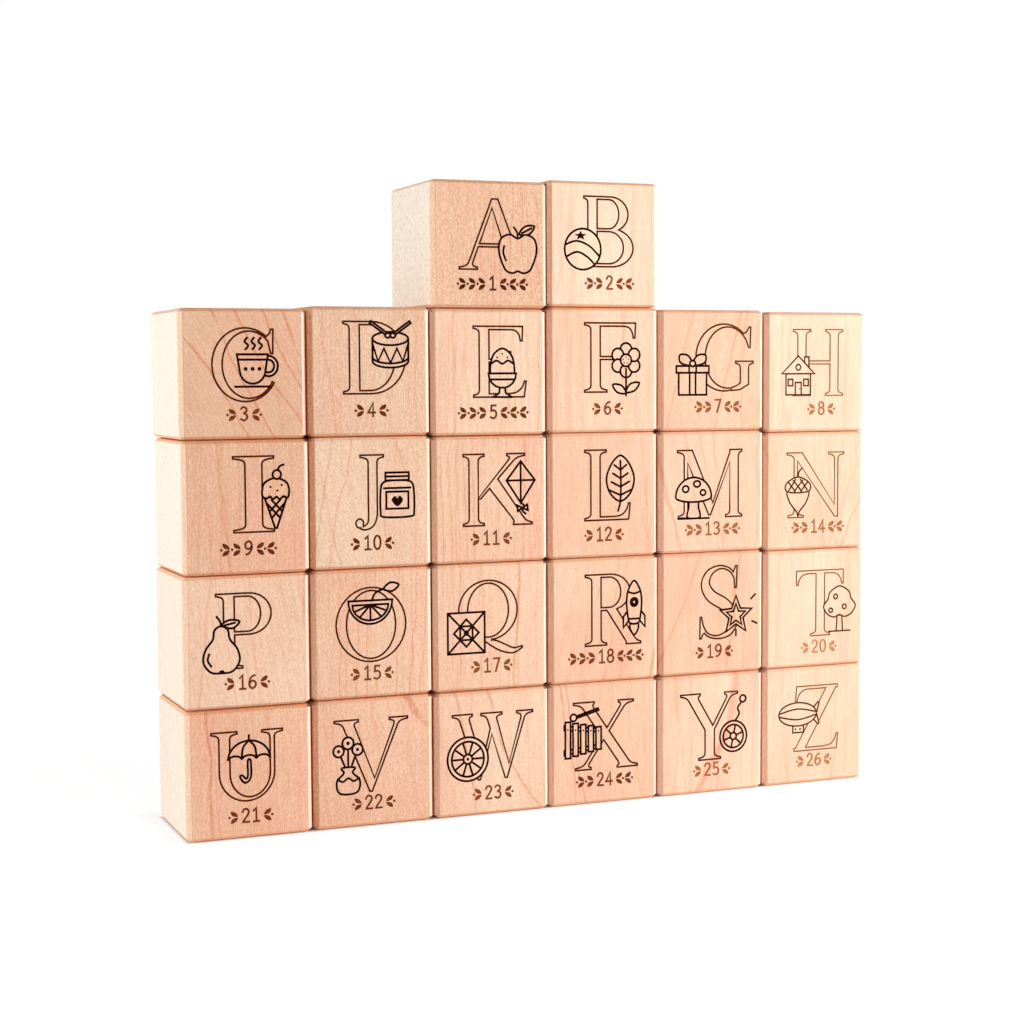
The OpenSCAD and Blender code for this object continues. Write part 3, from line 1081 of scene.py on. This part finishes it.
# Block J, third. Its growth lines lean over to the right. A narrow outlined J with a jar.
make_block(
    "j", 10,
    [add(ribbon([(50.6, 50), (50.6, 41), (49, 34.4), (44.6, 31.2), (40.4, 31.4)], [7.4, 7.2, 5.6, 3.2, 2])),
     add(oval(39.6, 34.6, 3.2, 3.4, step=24)), *stem(47, 54.3, 44, 86, None, (6.6, 5.4))],
    [form([(-9, 5), (-10, 0), (-10, -10), (-8, -13), (8, -13), (10, -10), (10, 0), (9, 5), (5, 6.6),
           (-5, 6.6)]), panel(-7, 7, 6.8, 11), line([(-6.6, 8.9), (6.6, 8.9)]),
     panel(-6.6, 6.6, -8.6, 0.6),
     spot(flowing([(-3.4, -4), (-1.4, -1.6), (0, -3), (1.4, -1.6), (3.4, -4), (0, -7.4)], pieces=4)),
     line([(-8, 2.6), (8, 2.6)])],
    (71, 57, 1.4), toast=0.12,
    paleness=0.50, rosiness=0.25, red=0.93, pith=(40, 38), lean=(16, 4), rings=4.6, lines=0.25, wander=7,
    flecks=0.55, brown=0.6, sawn=0.16,
    streaks=[(-18.2, 0.19, 0, 0.65, 0.40), (-11.5, 0.18, 0, 0.65, 0.40), (5.8, 0.14, 0, 0.6, 0.32),
             (16.5, 0.05, 0, 0.6, 0.26)])

# Block D, the second column's top. Fine flecked maple, warm. An outlined D and a drum.
make_block(
    "d", 4,
    [add(bowl(37, 79.4, 33, 88.4, 51.5)), cut(bowl(41.5, 70.8, 35.4, 86, 50.5)),
     *stem(33.2, 41.5, 33, 88.4, (5, 0), (5, 0))],
    [shape([(-11, 4), (-11, -9), *oval(0, -9, 11, 3.6, 180, 360, 15), (11, -9), (11, 4)]),
     line(oval(0, -6.6, 11, 3.6, 180, 360, 15)),
     line([(-11, 1), (-7.6, -9), (-4, -1.6), (0, -10), (4, -1.6), (7.6, -9), (11, 1)]),
     shape(oval(0, 4, 11, 3.8, step=12)), shape([(-12.6, 12.8), (-2.2, 5.6), (-1.4, 6.8), (-11.8, 14)]),
     shape(oval(-1.6, 5.8, 1.6, 1.4, step=40)), shape([(12.6, 12.8), (2.2, 5.6), (1.4, 6.8), (11.8, 14)]),
     shape(oval(1.6, 5.8, 1.6, 1.4, step=40))],
    (67, 70, 1.35), toast=0.115, row_middle=51, row_foot=15,
    paleness=0.30, rosiness=0.30, red=0.92, pith=(80, 20), rings=6, lines=0.2, flecks=0.55, curl=0.15,
    brown=0.6, bare="top", streaks=[(-15.0, -0.12, 0, 0.9, 0.30), (17.0, 0, 0, 0.9, 0.20)])

# Block W, at the bottom of the third column, the one that everything else is lifted from. Pale
# tan with one curved line to the right. An outlined W of two crossing Vs, and a spoked wheel.
make_block(
    "w", 23,
    [add([(19.4, 81.8), (28, 81.8), (41.6, 37), (38.8, 28.6), (37, 28.6)]),
     add([(37, 28.6), (38.8, 28.6), (54, 81.8), (51, 81.8)]),
     add([(43.6, 81.8), (52, 81.8), (64.8, 37), (62.4, 28.6), (60.6, 28.6)]),
     add([(60.6, 28.6), (62.4, 28.6), (79.6, 81.8), (76.4, 81.8)]),
     serif(19.4, 28, 81.8, -1, 4.6, 4, (-0.33, -0.30)), serif(43.6, 54, 81.8, -1, 4, 4, (-0.32, 0.28)),
     serif(76.4, 79.6, 81.8, -1, 5.4, 5.6, (0.30, 0.32))],
    [ring(0, 0, 12.6, step=10), ring(0, 0, 10, step=10),
     *[line([(2.6 * math.cos(a), 2.6 * math.sin(a)), (10 * math.cos(a), 10 * math.sin(a))])
       for a in [math.pi * k / 5 for k in range(10)]], ring(0, 0, 2.8, step=30), dot(0, 0, 0.9)],
    (28, 46, 1.4), toast=0.255, row_foot=12,
    paleness=0.65, rosiness=0.35, red=0.96, pith=(66, 36), rings=7, lines=0.15, flecks=0.4, brown=0.08,
    sawn=0.24, streaks=[(-9.8, -0.18, -0.3, 0.9, 0.42), (5.3, -0.46, 3.8, 1.0, 0.50)])

# Block Q, above it. Tan with upright lines across its right half. An outlined Q and a quilt patch.
make_block(
    "q", 17,
    [add(oval(47, 63, 25.5, 23.4, step=9)), cut(oval(47, 63, 17.8, 21.2, step=9)),
     add(ribbon([(44, 39.6), (52, 36.6), (60, 33), (69, 30.4), (77, 33)], [1.4, 5.4, 6, 4, 1.2]))],
    [panel(-11, 11, -11, 11), line([(-11, -11), (11, 11)]), line([(-11, 11), (11, -11)]),
     shape([(-7.4, 0), (0, -7.4), (7.4, 0), (0, 7.4)]), panel(-3.7, 3.7, -3.7, 3.7),
     spot([(-1.8, 0), (0, -1.8), (1.8, 0), (0, 1.8)])],
    (28, 46, 1.45), toast=0.28,
    paleness=0.55, rosiness=0.30, red=0.97, pith=(-54, 26), rings=3.6, lines=0.32, flecks=0.4,
    brown=0.08, sawn=0.20, joint=0.45,
    streaks=[(9.8, 0.06, 0, 0.9, 0.55), (-3.1, 0.02, 0, 0.7, 0.25), (-12.0, 0.03, 0, 0.7, 0.22)])

# Block K, third. Reddish upright lines in its right third. An outlined K and a kite.
make_block(
    "k", 11,
    [*stem(31, 39, 29.6, 85.6), add([(38.5, 50.6), (41, 50.6), (75, 85.6), (69.8, 85.6)]),
     add([(47.6, 60), (55, 67.2), (82.6, 29.6), (72.8, 29.6)]),
     serif(69.8, 75, 85.6, -1, 6, 4.4, (0.89, 0.97)),
     serif(72.8, 82.6, 29.6, 1, 3.4, 3.2, (-0.83, -0.73))],
    [shape([(0, 15), (-9.6, 3.4), (0, -10.4), (9.6, 3.4)]), line([(0, 15), (0, -10.4)]),
     line([(-9.6, 3.4), (9.6, 3.4)]), curve([(0, -10.4), (2.4, -12.4), (1, -15), (3.4, -17)]),
     shape([(1, -13.4), (4.4, -11.4), (4.8, -15)]), shape([(1, -13.4), (-2.4, -11.8), (-2, -15.4)])],
    (76, 60, 1.3), toast=0.22,
    paleness=0.45, rosiness=0.50, red=0.96, pith=(-50, 30), rings=3.0, lines=0.45, flecks=0.4, sawn=0.32,
    streaks=[(-15.5, 0, 0, 0.7, 0.20), (-13.0, 0.01, 0, 0.6, 0.28), (13.3, 0.02, 0, 1.0, 0.45),
             (16.5, 0, 0, 0.6, 0.25), (19.0, 0.02, 0, 0.7, 0.20)])

# Block E, fourth. Fine upright reddish streaks low on the face. An outlined E and an egg in a cup.
make_block(
    "e", 5,
    [bar(45, 78, 83.4, 86), beak(78.8, 86, -13, -11.4, -0.4), bar(45, 67, 57.8, 60.2),
     add([(64.6, 57.8), (66.8, 52), (68.4, 52), (68.4, 66), (66.8, 66), (64.6, 60.2)]),
     bar(45, 79, 30.4, 33), beak(80, 30.4, -14, 12.4, 1.8), *stem(41, 49.5, 30.4, 86, (5, 0), (5, 0))],
    [form([(0, 14), (5.4, 10.6), (7.4, 4), (6.6, -2), (0, -5), (-6.6, -2), (-7.4, 4), (-5.4, 10.6)]),
     shape([(-8.6, 0), *oval(0, 0, 8.6, 8.2, 200, 340, 20), (8.6, 0)]),
     shape([(-1.6, -8), (1.6, -8), (2, -11), (6, -13.4), (-6, -13.4), (-2, -11)]),
     line([(-7.6, -3.4), (7.6, -3.4)]), curve([(-7, 5.4), (-3.5, 7.2), (0, 5.4), (3.5, 7.2), (7, 5.4)]),
     dot(-3.2, 9, 0.6), dot(0, 11, 0.6), dot(3.2, 9, 0.6)],
    (61, 49, 1.4), toast=0.145, row_middle=53, row_foot=13, sprigs=3,
    paleness=0.60, rosiness=0.35, red=0.94, pith=(60, 18), rings=2.8, lines=0.25, flecks=0.35, sawn=0.34,
    joint=0.40,
    streaks=[(-13.3, 0.01, 0, 0.8, 0.30), (-9.0, 0, 0, 0.6, 0.15), (7.5, 0.02, 0, 0.6, 0.20),
             (19.5, 0, 0, 0.8, 0.28)])

# Block A, on top of the third column. Thin upright lines fill its right half, and wavy fleck its
# left. An outlined A, thin then thick, and an apple.
make_block(
    "a", 1,
    [add([(29.4, 30.4), (33, 30.4), (54.6, 85.4), (51.6, 85.4)]),
     add([(68.6, 30.4), (79, 30.4), (56.8, 85.4), (51.6, 85.4), (51.6, 79)]), bar(38, 66, 48, 50.4),
     serif(29.4, 33, 30.4, 1, 6, 6, (0.40, 0.39)), serif(68.6, 79, 30.4, 1, 5.6, 5.6, (-0.35, -0.40))],
    [form([(1, 11), (4.6, 15.4), (10.4, 15.6), (7, 11)], pieces=4),
     form([(0, 8.6), (5, 10.8), (10.6, 8), (11.6, 0.6), (8, -8.6), (3.6, -10.8), (0, -9.8), (-3.6, -10.8),
           (-8, -8.6), (-11.6, 0.6), (-10.6, 8), (-5, 10.8)]),
     curve([(0, 8.6), (-0.4, 12), (-2.4, 14.8)]), line([(2.6, 11.6), (8.6, 14.6)]),
     curve([(-8.4, 4.4), (-9, 0.6), (-7.4, -3.8)])],
    (74, 43, 1.4), toast=0.085, row_middle=52, sprigs=3,
    paleness=0.15, rosiness=0.25, red=0.94, pith=(-44, 20), rings=3.3, lines=0.25, flecks=0.6, curl=0.35,
    side=1.0, bare="left top",
    streaks=[(-3.0, 0, 0, 0.6, 0.22), (0.9, -0.02, 0, 0.6, 0.28), (4.6, 0, 0, 0.6, 0.28),
             (8.3, 0.03, 0, 0.6, 0.32), (12.6, -0.04, 0, 0.6, 0.38), (15.2, -0.05, 0, 0.5, 0.28),
             (18.4, -0.02, 0, 0.7, 0.38)])

# Block X, at the bottom of the fourth column. Dark mineral dashes top left. An outlined X and a
# little xylophone.
make_block(
    "x", 24,
    [add([(26.5, 84), (36.5, 84), (76, 28.6), (66, 28.6)]),
     add([(28.6, 28.6), (32.4, 28.6), (71.7, 84), (67.7, 84)]),
     serif(26.5, 36.5, 84, -1, 5, 4, (-0.71, -0.71)), serif(67.7, 71.7, 84, -1, 5, 5, (0.71, 0.71)),
     serif(28.6, 32.4, 28.6, 1, 5.4, 5, (0.71, 0.71)), serif(66, 76, 28.6, 1, 4.4, 4.4, (-0.71, -0.71))],
    [shape([(-12, 8.6), (12, 5.4), (12, 3.6), (-12, 6)]),
     shape([(-12, -8.6), (12, -5.4), (12, -3.6), (-12, -6)]),
     *[panel(-11.4 + 5 * n, -8 + 5 * n, n - 10.6, 10.6 - n) for n in range(5)],
     *[dot(5 * n - 9.7, 6.2 - 0.5 * n, 0.6) for n in range(5)],
     shape([(-5, 13.6), (10, 17.6), (10.4, 16.4), (-4.8, 12.4)]), ring(-6, 13, 2.1, step=36)],
    (30, 54, 1.4), toast=0.18, sprigs=2,
    paleness=0.55, rosiness=0.40, red=0.97, pith=(58, 34), rings=6, lines=0.15, flecks=0.25, brown=0.14,
    sawn=0.26, stain=0.5,
    streaks=[(-14.6, -0.15, 0, 0.7, 0.50), (-12.0, -0.18, 0, 0.5, 0.45), (11.5, -0.10, 1.5, 0.8, 0.20),
             (2.5, 0, 0, 0.7, 0.15)])

# Block R, above it. The rosiest block, with slanted lines low down. An outlined R and a rocket.
make_block(
    "r", 18,
    [add(bowl(42, 73, 57.5, 86.4, 55)), cut(bowl(46.5, 64.6, 59.8, 84.1, 54)),
     add([(51, 58.6), (60.6, 58.6), (81, 29.6), (71, 29.6)]),
     serif(71, 81, 29.6, 1, 1.4, 2, (-0.69, -0.70)), *stem(38, 46.5, 29.6, 86.4, (6, 5), (6, 0))],
    [shape([(-3.4, -8), (-8, -13), (-8, -6), (-4.6, -2)]),
     shape([(3.4, -8), (8, -13), (8, -6), (4.6, -2)]),
     form([(-2.4, -10), (-3, -14), (0, -18), (3, -14), (2.4, -10)], pieces=4),
     form([(0, 17), (4.4, 11), (5.6, 3), (4.6, -6), (3, -10.4), (-3, -10.4), (-4.6, -6), (-5.6, 3),
           (-4.4, 11)]), curve([(-4.6, 10), (0, 8.8), (4.6, 10)]), ring(0, 3.2, 2.7, step=30),
     ring(0, 3.2, 1.5, step=40), line([(-4, -7.6), (4, -7.6)])],
    (77, 59, 1.25), toast=0.21, row_middle=51, row_foot=15, sprigs=3,
    paleness=0.40, rosiness=0.85, red=0.97, pith=(64, 30), lean=(-14, 5), rings=5, lines=0.15, wander=8,
    flecks=0.3, stain=0.5,
    streaks=[(7.5, 0.06, 0, 0.8, 0.20), (3.0, 0.15, 0, 0.7, 0.22), (23.1, 0.20, 0, 1.1, 0.50),
             (-7.0, 0.02, 0, 0.7, 0.18)])

# Block L, third. Yellow tan, mottled low on the left. An outlined L and a leaf.
make_block(
    "l", 12,
    [bar(42, 72, 30, 32.6), beak(72.6, 30, -13, 13, 1.4), *stem(38, 46.5, 30, 86, (5.6, 0), (5.6, 5.6))],
    [form([(0, 16.6), (6, 11.6), (9.4, 3), (7, -5.6), (0, -10.6), (-7, -5.6), (-9.4, 3), (-6, 11.6)]),
     curve([(0, 13.6), (0.4, 0), (0, -10.6), (-1.6, -16.4)]),
     *[line([(0.1, 8 - 5 * n), (way * (4.2 + n), 11 - 5 * n)]) for n in range(4) for way in (-1, 1)]],
    (65, 59, 1.35), toast=0.24, row_foot=13,
    paleness=0.45, rosiness=0.15, pith=(70, 28), rings=6, lines=0.22, flecks=0.3, brown=0.28, sawn=0.30,
    stain=0.5, joint=0.60, streaks=[(17.0, -0.06, 0, 0.8, 0.18)])

# Block F, fourth. Pale and even. An outlined F and a flower.
make_block(
    "f", 6,
    [bar(42, 77, 85, 87.6), beak(78.8, 87.6, -13, -12, -0.6), bar(42, 64, 58.4, 60.8),
     add([(61.6, 58.4), (63.8, 52.6), (65.4, 52.6), (65.4, 66.6), (63.8, 66.6), (61.6, 60.8)]),
     *stem(38, 46.5, 32.4, 87.6, (5.6, 6), (5.6, 0))],
    [line([(0, 0), (0, -16)]), form([(0, -14), (3, -9), (9, -8.4), (6, -13)], pieces=4),
     form([(0, -14.6), (-3, -10), (-9, -9.4), (-6, -14)], pieces=4),
     *[ring(6.4 * math.cos(a), 5 + 6.4 * math.sin(a), 3.9, step=24)
       for a in [math.pi * (0.5 + k / 3) for k in range(6)]], ring(0, 5, 3.7, step=24),
     *[dot(1.9 * math.cos(a), 5 + 1.9 * math.sin(a), 0.5)
       for a in [math.pi * (0.1 + k / 2.5) for k in range(5)]]],
    (70, 51, 1.35), toast=0.24, row_middle=53,
    paleness=0.60, rosiness=0.25, pith=(52, 40), rings=5, lines=0.28, flecks=0.25, sawn=0.85, stain=0.5,
    streaks=[(-14.5, 0, 0, 2.2, 0.18), (-9.5, 0, 0, 1.6, 0.13), (9.0, 0, 0, 1.2, 0.13)])

# Block B, on top of the fourth column. The palest face on the left of the set, nearly plain. An
# outlined B and a ball.
make_block(
    "b", 2,
    [add(bowl(40, 72, 60.4, 88, 56)), add(bowl(40, 76.6, 32.4, 62.6, 57)),
     cut(bowl(44, 63.6, 62.6, 85.8, 54.5)), cut(bowl(44, 67.8, 34.8, 60.4, 54.5)),
     *stem(35.6, 44, 32.4, 88, (3.6, 0), (3.6, 0))],
    [ring(0, 0, 11.6, step=10), curve([(-11.2, 2.4), (-4, 4.6), (4, 2), (10.8, -4)]),
     curve([(-10.6, -4.4), (-3.6, -1.6), (3, -4.4), (7.6, -8.6)]),
     spot(star(-1.4, 7.6, 4.2, -2.9, 0.42, first=0))],
    (31, 46, 1.4), toast=0.24, row_middle=55, sprigs=2,
    paleness=0.85, rosiness=0.25, pith=(66, 22), rings=4, lines=0.20, flecks=0.3, brown=0.30, stain=1.2,
    joint=0.65, bare="right top", streaks=[(-12.5, 0, 0, 2.4, 0.15), (12.0, 0, 0, 1.6, 0.10)])

# Block Y, at the bottom of the fifth column. A reddish cloud right of its middle. An outlined Y
# and a yo-yo.
make_block(
    "y", 25,
    [add([(24.5, 83.8), (34.5, 83.8), (52.6, 54), (52.6, 48), (43.6, 48), (43.6, 53)]),
     add([(67.1, 83.8), (70.5, 83.8), (52.6, 53), (49, 53)]), *stem(43.6, 52.6, 28, 54, (6, 6), None),
     serif(24.5, 34.5, 83.8, -1, 4.4, 4.4, (-0.62, -0.61)),
     serif(67.1, 70.5, 83.8, -1, 4.6, 4.6, (0.59, 0.58))],
    [ring(0, -4, 10.4, step=10), ring(0, -4, 7.8), ring(0, -4, 2.4, step=30),
     curve([(1.4, 6.4), (4.6, 11), (3.4, 15), (6.4, 18.8)]),
     line([*oval(7.4, 21, 2.4, 2.4, step=36), (9.8, 21)]),
     *[line([(3.4 * math.cos(a), 3.4 * math.sin(a) - 4), (6.6 * math.cos(a), 6.6 * math.sin(a) - 4)])
       for a in [math.pi * (k / 3 + 0.1) for k in range(6)]]],
    (71, 51, 1.25), toast=0.4,
    paleness=0.75, rosiness=0.60, pith=(50, 46), rings=5, lines=0.25, flecks=0.2, brown=0.08, sawn=0.44,
    stain=0.5, streaks=[(5.3, 0.39, -3.1, 2.4, 0.45), (-13.5, -0.10, 0, 1.0, 0.20)])

# Block S, above it. Reddish blotches low, one line high on the right. An outlined S and a star.
make_block(
    "s", 19,
    [add(ribbon([(72.4, 77), (67.4, 84.4), (57.6, 87.4), (47.4, 83), (43.4, 73.6), (49, 64), (63, 55.6),
                 (70.6, 44.6), (66.4, 33.8), (55.4, 30), (45, 32.8), (40, 41)],
                [1.6, 2.2, 2.6, 5.4, 8, 9.6, 9.8, 8.2, 5.4, 2.6, 2.2, 1.6])),
     add([(71.6, 70), (73.2, 70), (74, 88), (72.6, 88), (70.4, 83.4), (71, 79)]),
     add([(38, 29.4), (39.4, 29.4), *flowing([(41, 33), (43.4, 34.6), (41.6, 39), (39.8, 47)], False, 3),
          (38.4, 47)])],
    [shape(star(0, 0, 13, 13, 0.44)), shape(star(0, 0, 7.6, 7.6, 0.44)), line([(11.6, 10.4), (15, 13.4)]),
     line([(0, -9.4), (0, -13.4)]), line([(12.6, -4.4), (16.4, -6)])],
    (73, 47, 1.25), toast=0.25, row_middle=52, row_foot=13,
    paleness=0.40, rosiness=0.65, pith=(-58, 38), rings=6, lines=0.15, flecks=0.2, brown=0.28, sawn=0.44,
    stain=0.5,
    streaks=[(-14.0, 0.46, 0, 1.0, 0.32), (9.2, 0.14, 0, 1.1, 0.38), (14.0, 0.05, 0, 0.8, 0.22)])

# Block M, third. Curved, slanted lines. An outlined M and a mushroom.
make_block(
    "m", 13,
    [add([(21.6, 84.4), (30.6, 84.4), (51.4, 38.6), (48, 31), (46.4, 31)]),
     add([(46.4, 31), (48, 31), (71, 84.4), (67.4, 84.4)]), bar(23, 26.4, 30, 84.4),
     bar(66.6, 74.8, 30, 84.4), serif(23, 26.4, 29, 1, 5.4, 5.4), serif(66.6, 74.8, 29, 1, 4, 3.4),
     serif(23, 30, 84.4, -1, 6.4, 0), serif(68, 74.8, 84.4, -1, 0, 3.4)],
    [form([(-3, 1), (-3.4, -6), (-4.6, -12), (0, -13), (4.6, -12), (3.4, -6), (3, 1)], pieces=4),
     shape([(-12.6, 0), *oval(0, 0, 12.6, 12, 180, 0, 12), *oval(0, 0, 12.6, 3, 0, -180, 15)]),
     shape(oval(-5.6, 5, 2.2, 2, step=36)), shape(oval(2.4, 8, 2.4, 1.9, step=36)),
     shape(oval(6.6, 2.6, 1.9, 1.7, step=36)), line([(-11, -13), (11, -13)])],
    (32, 46, 1.35), toast=0.39, sprigs=2,
    paleness=0.50, rosiness=0.30, pith=(38, 42), lean=(12, 6), rings=5, lines=0.25, wander=8,
    flecks=0.25, brown=0.14, sawn=0.38, stain=0.5,
    streaks=[(-20.0, -0.24, 1.4, 1.0, 0.42), (2.5, -0.10, 0, 0.8, 0.28), (19.5, 0.02, 0, 0.8, 0.18)])

# Block G, the fifth column's top. Faint slanting lines low and a reddish streak. An outlined G and
# a gift.
make_block(
    "g", 7,
    [add(oval(61, 60.7, 27, 27.7, step=9)), cut(oval(64.4, 60.7, 21.6, 25.4, step=9)),
     cut([(64, 60), (96, 84), (96, 30), (76.5, 57)]),
     add([(84.4, 69), (86, 69), (86.6, 86), (85, 86), (82.6, 82), (79.6, 80.6), (82, 77)]),
     add([(76.6, 57), (84.6, 57), (84.6, 38.4), (76, 34), (68, 33.4), (68, 35.6), (76.6, 38.6)]),
     serif(76.6, 84.6, 57.6, -1, 4.6, 4.4)],
    [panel(-9.4, 9.4, -11.4, 2), panel(-2, 2, -11.4, 2), panel(-11, 11, 1.6, 5.6),
     panel(-2.4, 2.4, 1.6, 5.6), form([(0, 6), (-3, 11.6), (-8.6, 12), (-8, 7.4)]),
     form([(0, 6), (3, 11.6), (8.6, 12), (8, 7.4)]), shape(oval(0, 7, 2, 1.8, step=40))],
    (31, 46, 1.4), toast=0.33, row_middle=55, row_foot=15, sprigs=2,
    paleness=0.40, rosiness=0.50, pith=(44, 30), lean=(-12, 8), rings=6, lines=0.2, wander=7,
    flecks=0.25, stain=0.5, bare="top",
    streaks=[(5.8, 0.25, 1.0, 1.0, 0.32), (-13.8, 0.27, 0.2, 0.9, 0.28), (13.5, 0.05, 0, 0.9, 0.25)])

# Block Z, at the bottom of the last column. Pale, almost plain. An outlined Z and an airship.
make_block(
    "z", 26,
    [bar(33, 73.6, 80.8, 83.4), bar(30, 73, 28, 30.6),
     add([(30, 28), (40, 28), (73.6, 83.4), (63.6, 83.4)]), beak(32.4, 83.4, 13, -12.4, -1),
     beak(73, 28, -13, 13, 1.4)],
    [shape([(8.6, 3.6), (14, 9), (15, 8.6), (13.4, 3)]),
     shape([(8.6, 0.4), (14, -5), (15, -4.6), (13.4, 1)]), panel(-4.6, 3.4, -9.6, -4.6),
     shape(oval(-1, 2, 14, 7.4, step=10)), curve([(-14.6, 3), (-1, 5.4), (12.4, 3)]),
     curve([(-14.6, 1), (-1, -1.4), (12.4, 1)]), spot(oval(-2.6, -7.4, 0.7, 0.8, step=60)),
     spot(oval(0.8, -7.4, 0.7, 0.8, step=60))],
    (35, 57, 1.35), toast=0.51,
    paleness=0.75, rosiness=0.35, pith=(56, 48), rings=6, lines=0.2, flecks=0.15, brown=0.15, sawn=0.26,
    stain=0.5, bare="right", streaks=[(-13.0, -0.05, 0, 1.2, 0.14), (9.0, 0.03, 0, 1.2, 0.10)])

# Block T, above it. Pale with soft wide stripes. An outlined T and a tree.
make_block(
    "t", 20,
    [bar(33, 77, 79.4, 82), beak(31.4, 82, 14, -12), beak(78.6, 82, -14, -12),
     *stem(51, 59.6, 26.4, 82, (5.4, 5.4), None)],
    [shape([(-1.8, -4), (-2.4, -14), (2.4, -14), (1.8, -4)]),
     form([(-9, -3), (-12, 2), (-8.6, 6.6), (-7, 11), (0, 14.6), (7, 11), (8.6, 6.6), (12, 2), (9, -3),
           (4, -5), (0, -3.6), (-4, -5)]), ring(-3, 8, 1.5, step=40), ring(3.6, 1.4, 1.5, step=40),
     ring(-6.6, -0.6, 1.4, step=40), line([(-8, -14), (8, -14)])],
    (75, 48, 1.35), toast=0.59, row_middle=54, row_foot=11.5,
    paleness=0.70, rosiness=0.15, pith=(48, 30), rings=9, lines=0.3, flecks=0.15, sawn=0.30, stain=0.5,
    bare="right", streaks=[(-16.0, 0.06, 0, 1.6, 0.14), (14.5, 0.03, 0, 1.8, 0.14)])

# Block N, third. Pale with one curved reddish line to the left. An outlined N and an acorn.
make_block(
    "n", 14,
    [add([(27, 82.4), (37, 82.4), (73, 33), (73, 27.6), (70, 27.6)]), bar(29, 32.4, 28, 82.4),
     bar(69.6, 73, 27.6, 82.4), serif(29, 32.4, 27.6, 1, 6, 6), serif(69.6, 73, 82.4, -1, 6, 6),
     serif(29, 36, 82.4, -1, 7, 0)],
    [form([(-7, 2), (-6, -5), (-1, -11), (0, -14), (1, -11), (6, -5), (7, 2)]),
     form([(-8.6, 2), (-8, 6.4), (0, 10), (8, 6.4), (8.6, 2), (4, 0.6), (-4, 0.6)]),
     curve([(0, 10), (0.6, 13), (3, 15.4)]), line([(-6.6, 2), (-1.6, 8.6)]),
     line([(-2.6, 1.4), (3.4, 8)]), line([(2, 1.4), (6.6, 6.6)]), line([(6.6, 2), (1.6, 8.6)]),
     line([(2.6, 1.4), (-3.4, 8)]), line([(-2, 1.4), (-6.6, 6.6)])],
    (33, 48, 1.4), toast=0.43, row_middle=53, sprigs=2,
    paleness=0.65, rosiness=0.30, pith=(42, 34), lean=(5, 0), rings=6, lines=0.2, flecks=0.15,
    brown=0.30, sawn=0.44, stain=0.5, bare="right",
    streaks=[(-17.0, -0.30, 0, 0.9, 0.20), (21.5, 0.41, 0, 1.0, 0.28), (15.0, 0.45, 0, 0.9, 0.18)])

# Block H, the last column's top. The palest of all, creamy yellow with wide, faint stripes. An
# outlined H and a house.
make_block(
    "h", 8,
    [bar(37, 66, 56.8, 59.4), *stem(31.4, 39.6, 30.4, 85.6, (4.6, 4.6), (4.6, 4.6)),
     *stem(63.6, 71.8, 30.4, 85.6, (4.6, 4.6), (4.6, 4.6))],
    [panel(4.6, 7.8, 4, 12.4), panel(-9, 9, -11, 3), shape([(-12, 2), (12, 2), (0, 13)]),
     panel(-2.2, 2.2, -11, -3.4), panel(-7.4, -4, -5.4, -1.4), panel(4, 7.4, -5.4, -1.4),
     ring(0, 6, 1.8, step=36), dot(1.1, -7.4, 0.5)],
    (32, 46, 1.35), toast=0.475, row_middle=55,
    paleness=0.80, rosiness=0.10, pith=(40, 26), rings=8, lines=0.3, flecks=0.15, stain=0.5,
    bare="right top",
    streaks=[(-14.7, 0, 0, 0.7, 0.20), (-12.0, 0, 0, 1.4, 0.18), (13.0, 0, 0, 1.6, 0.12)])
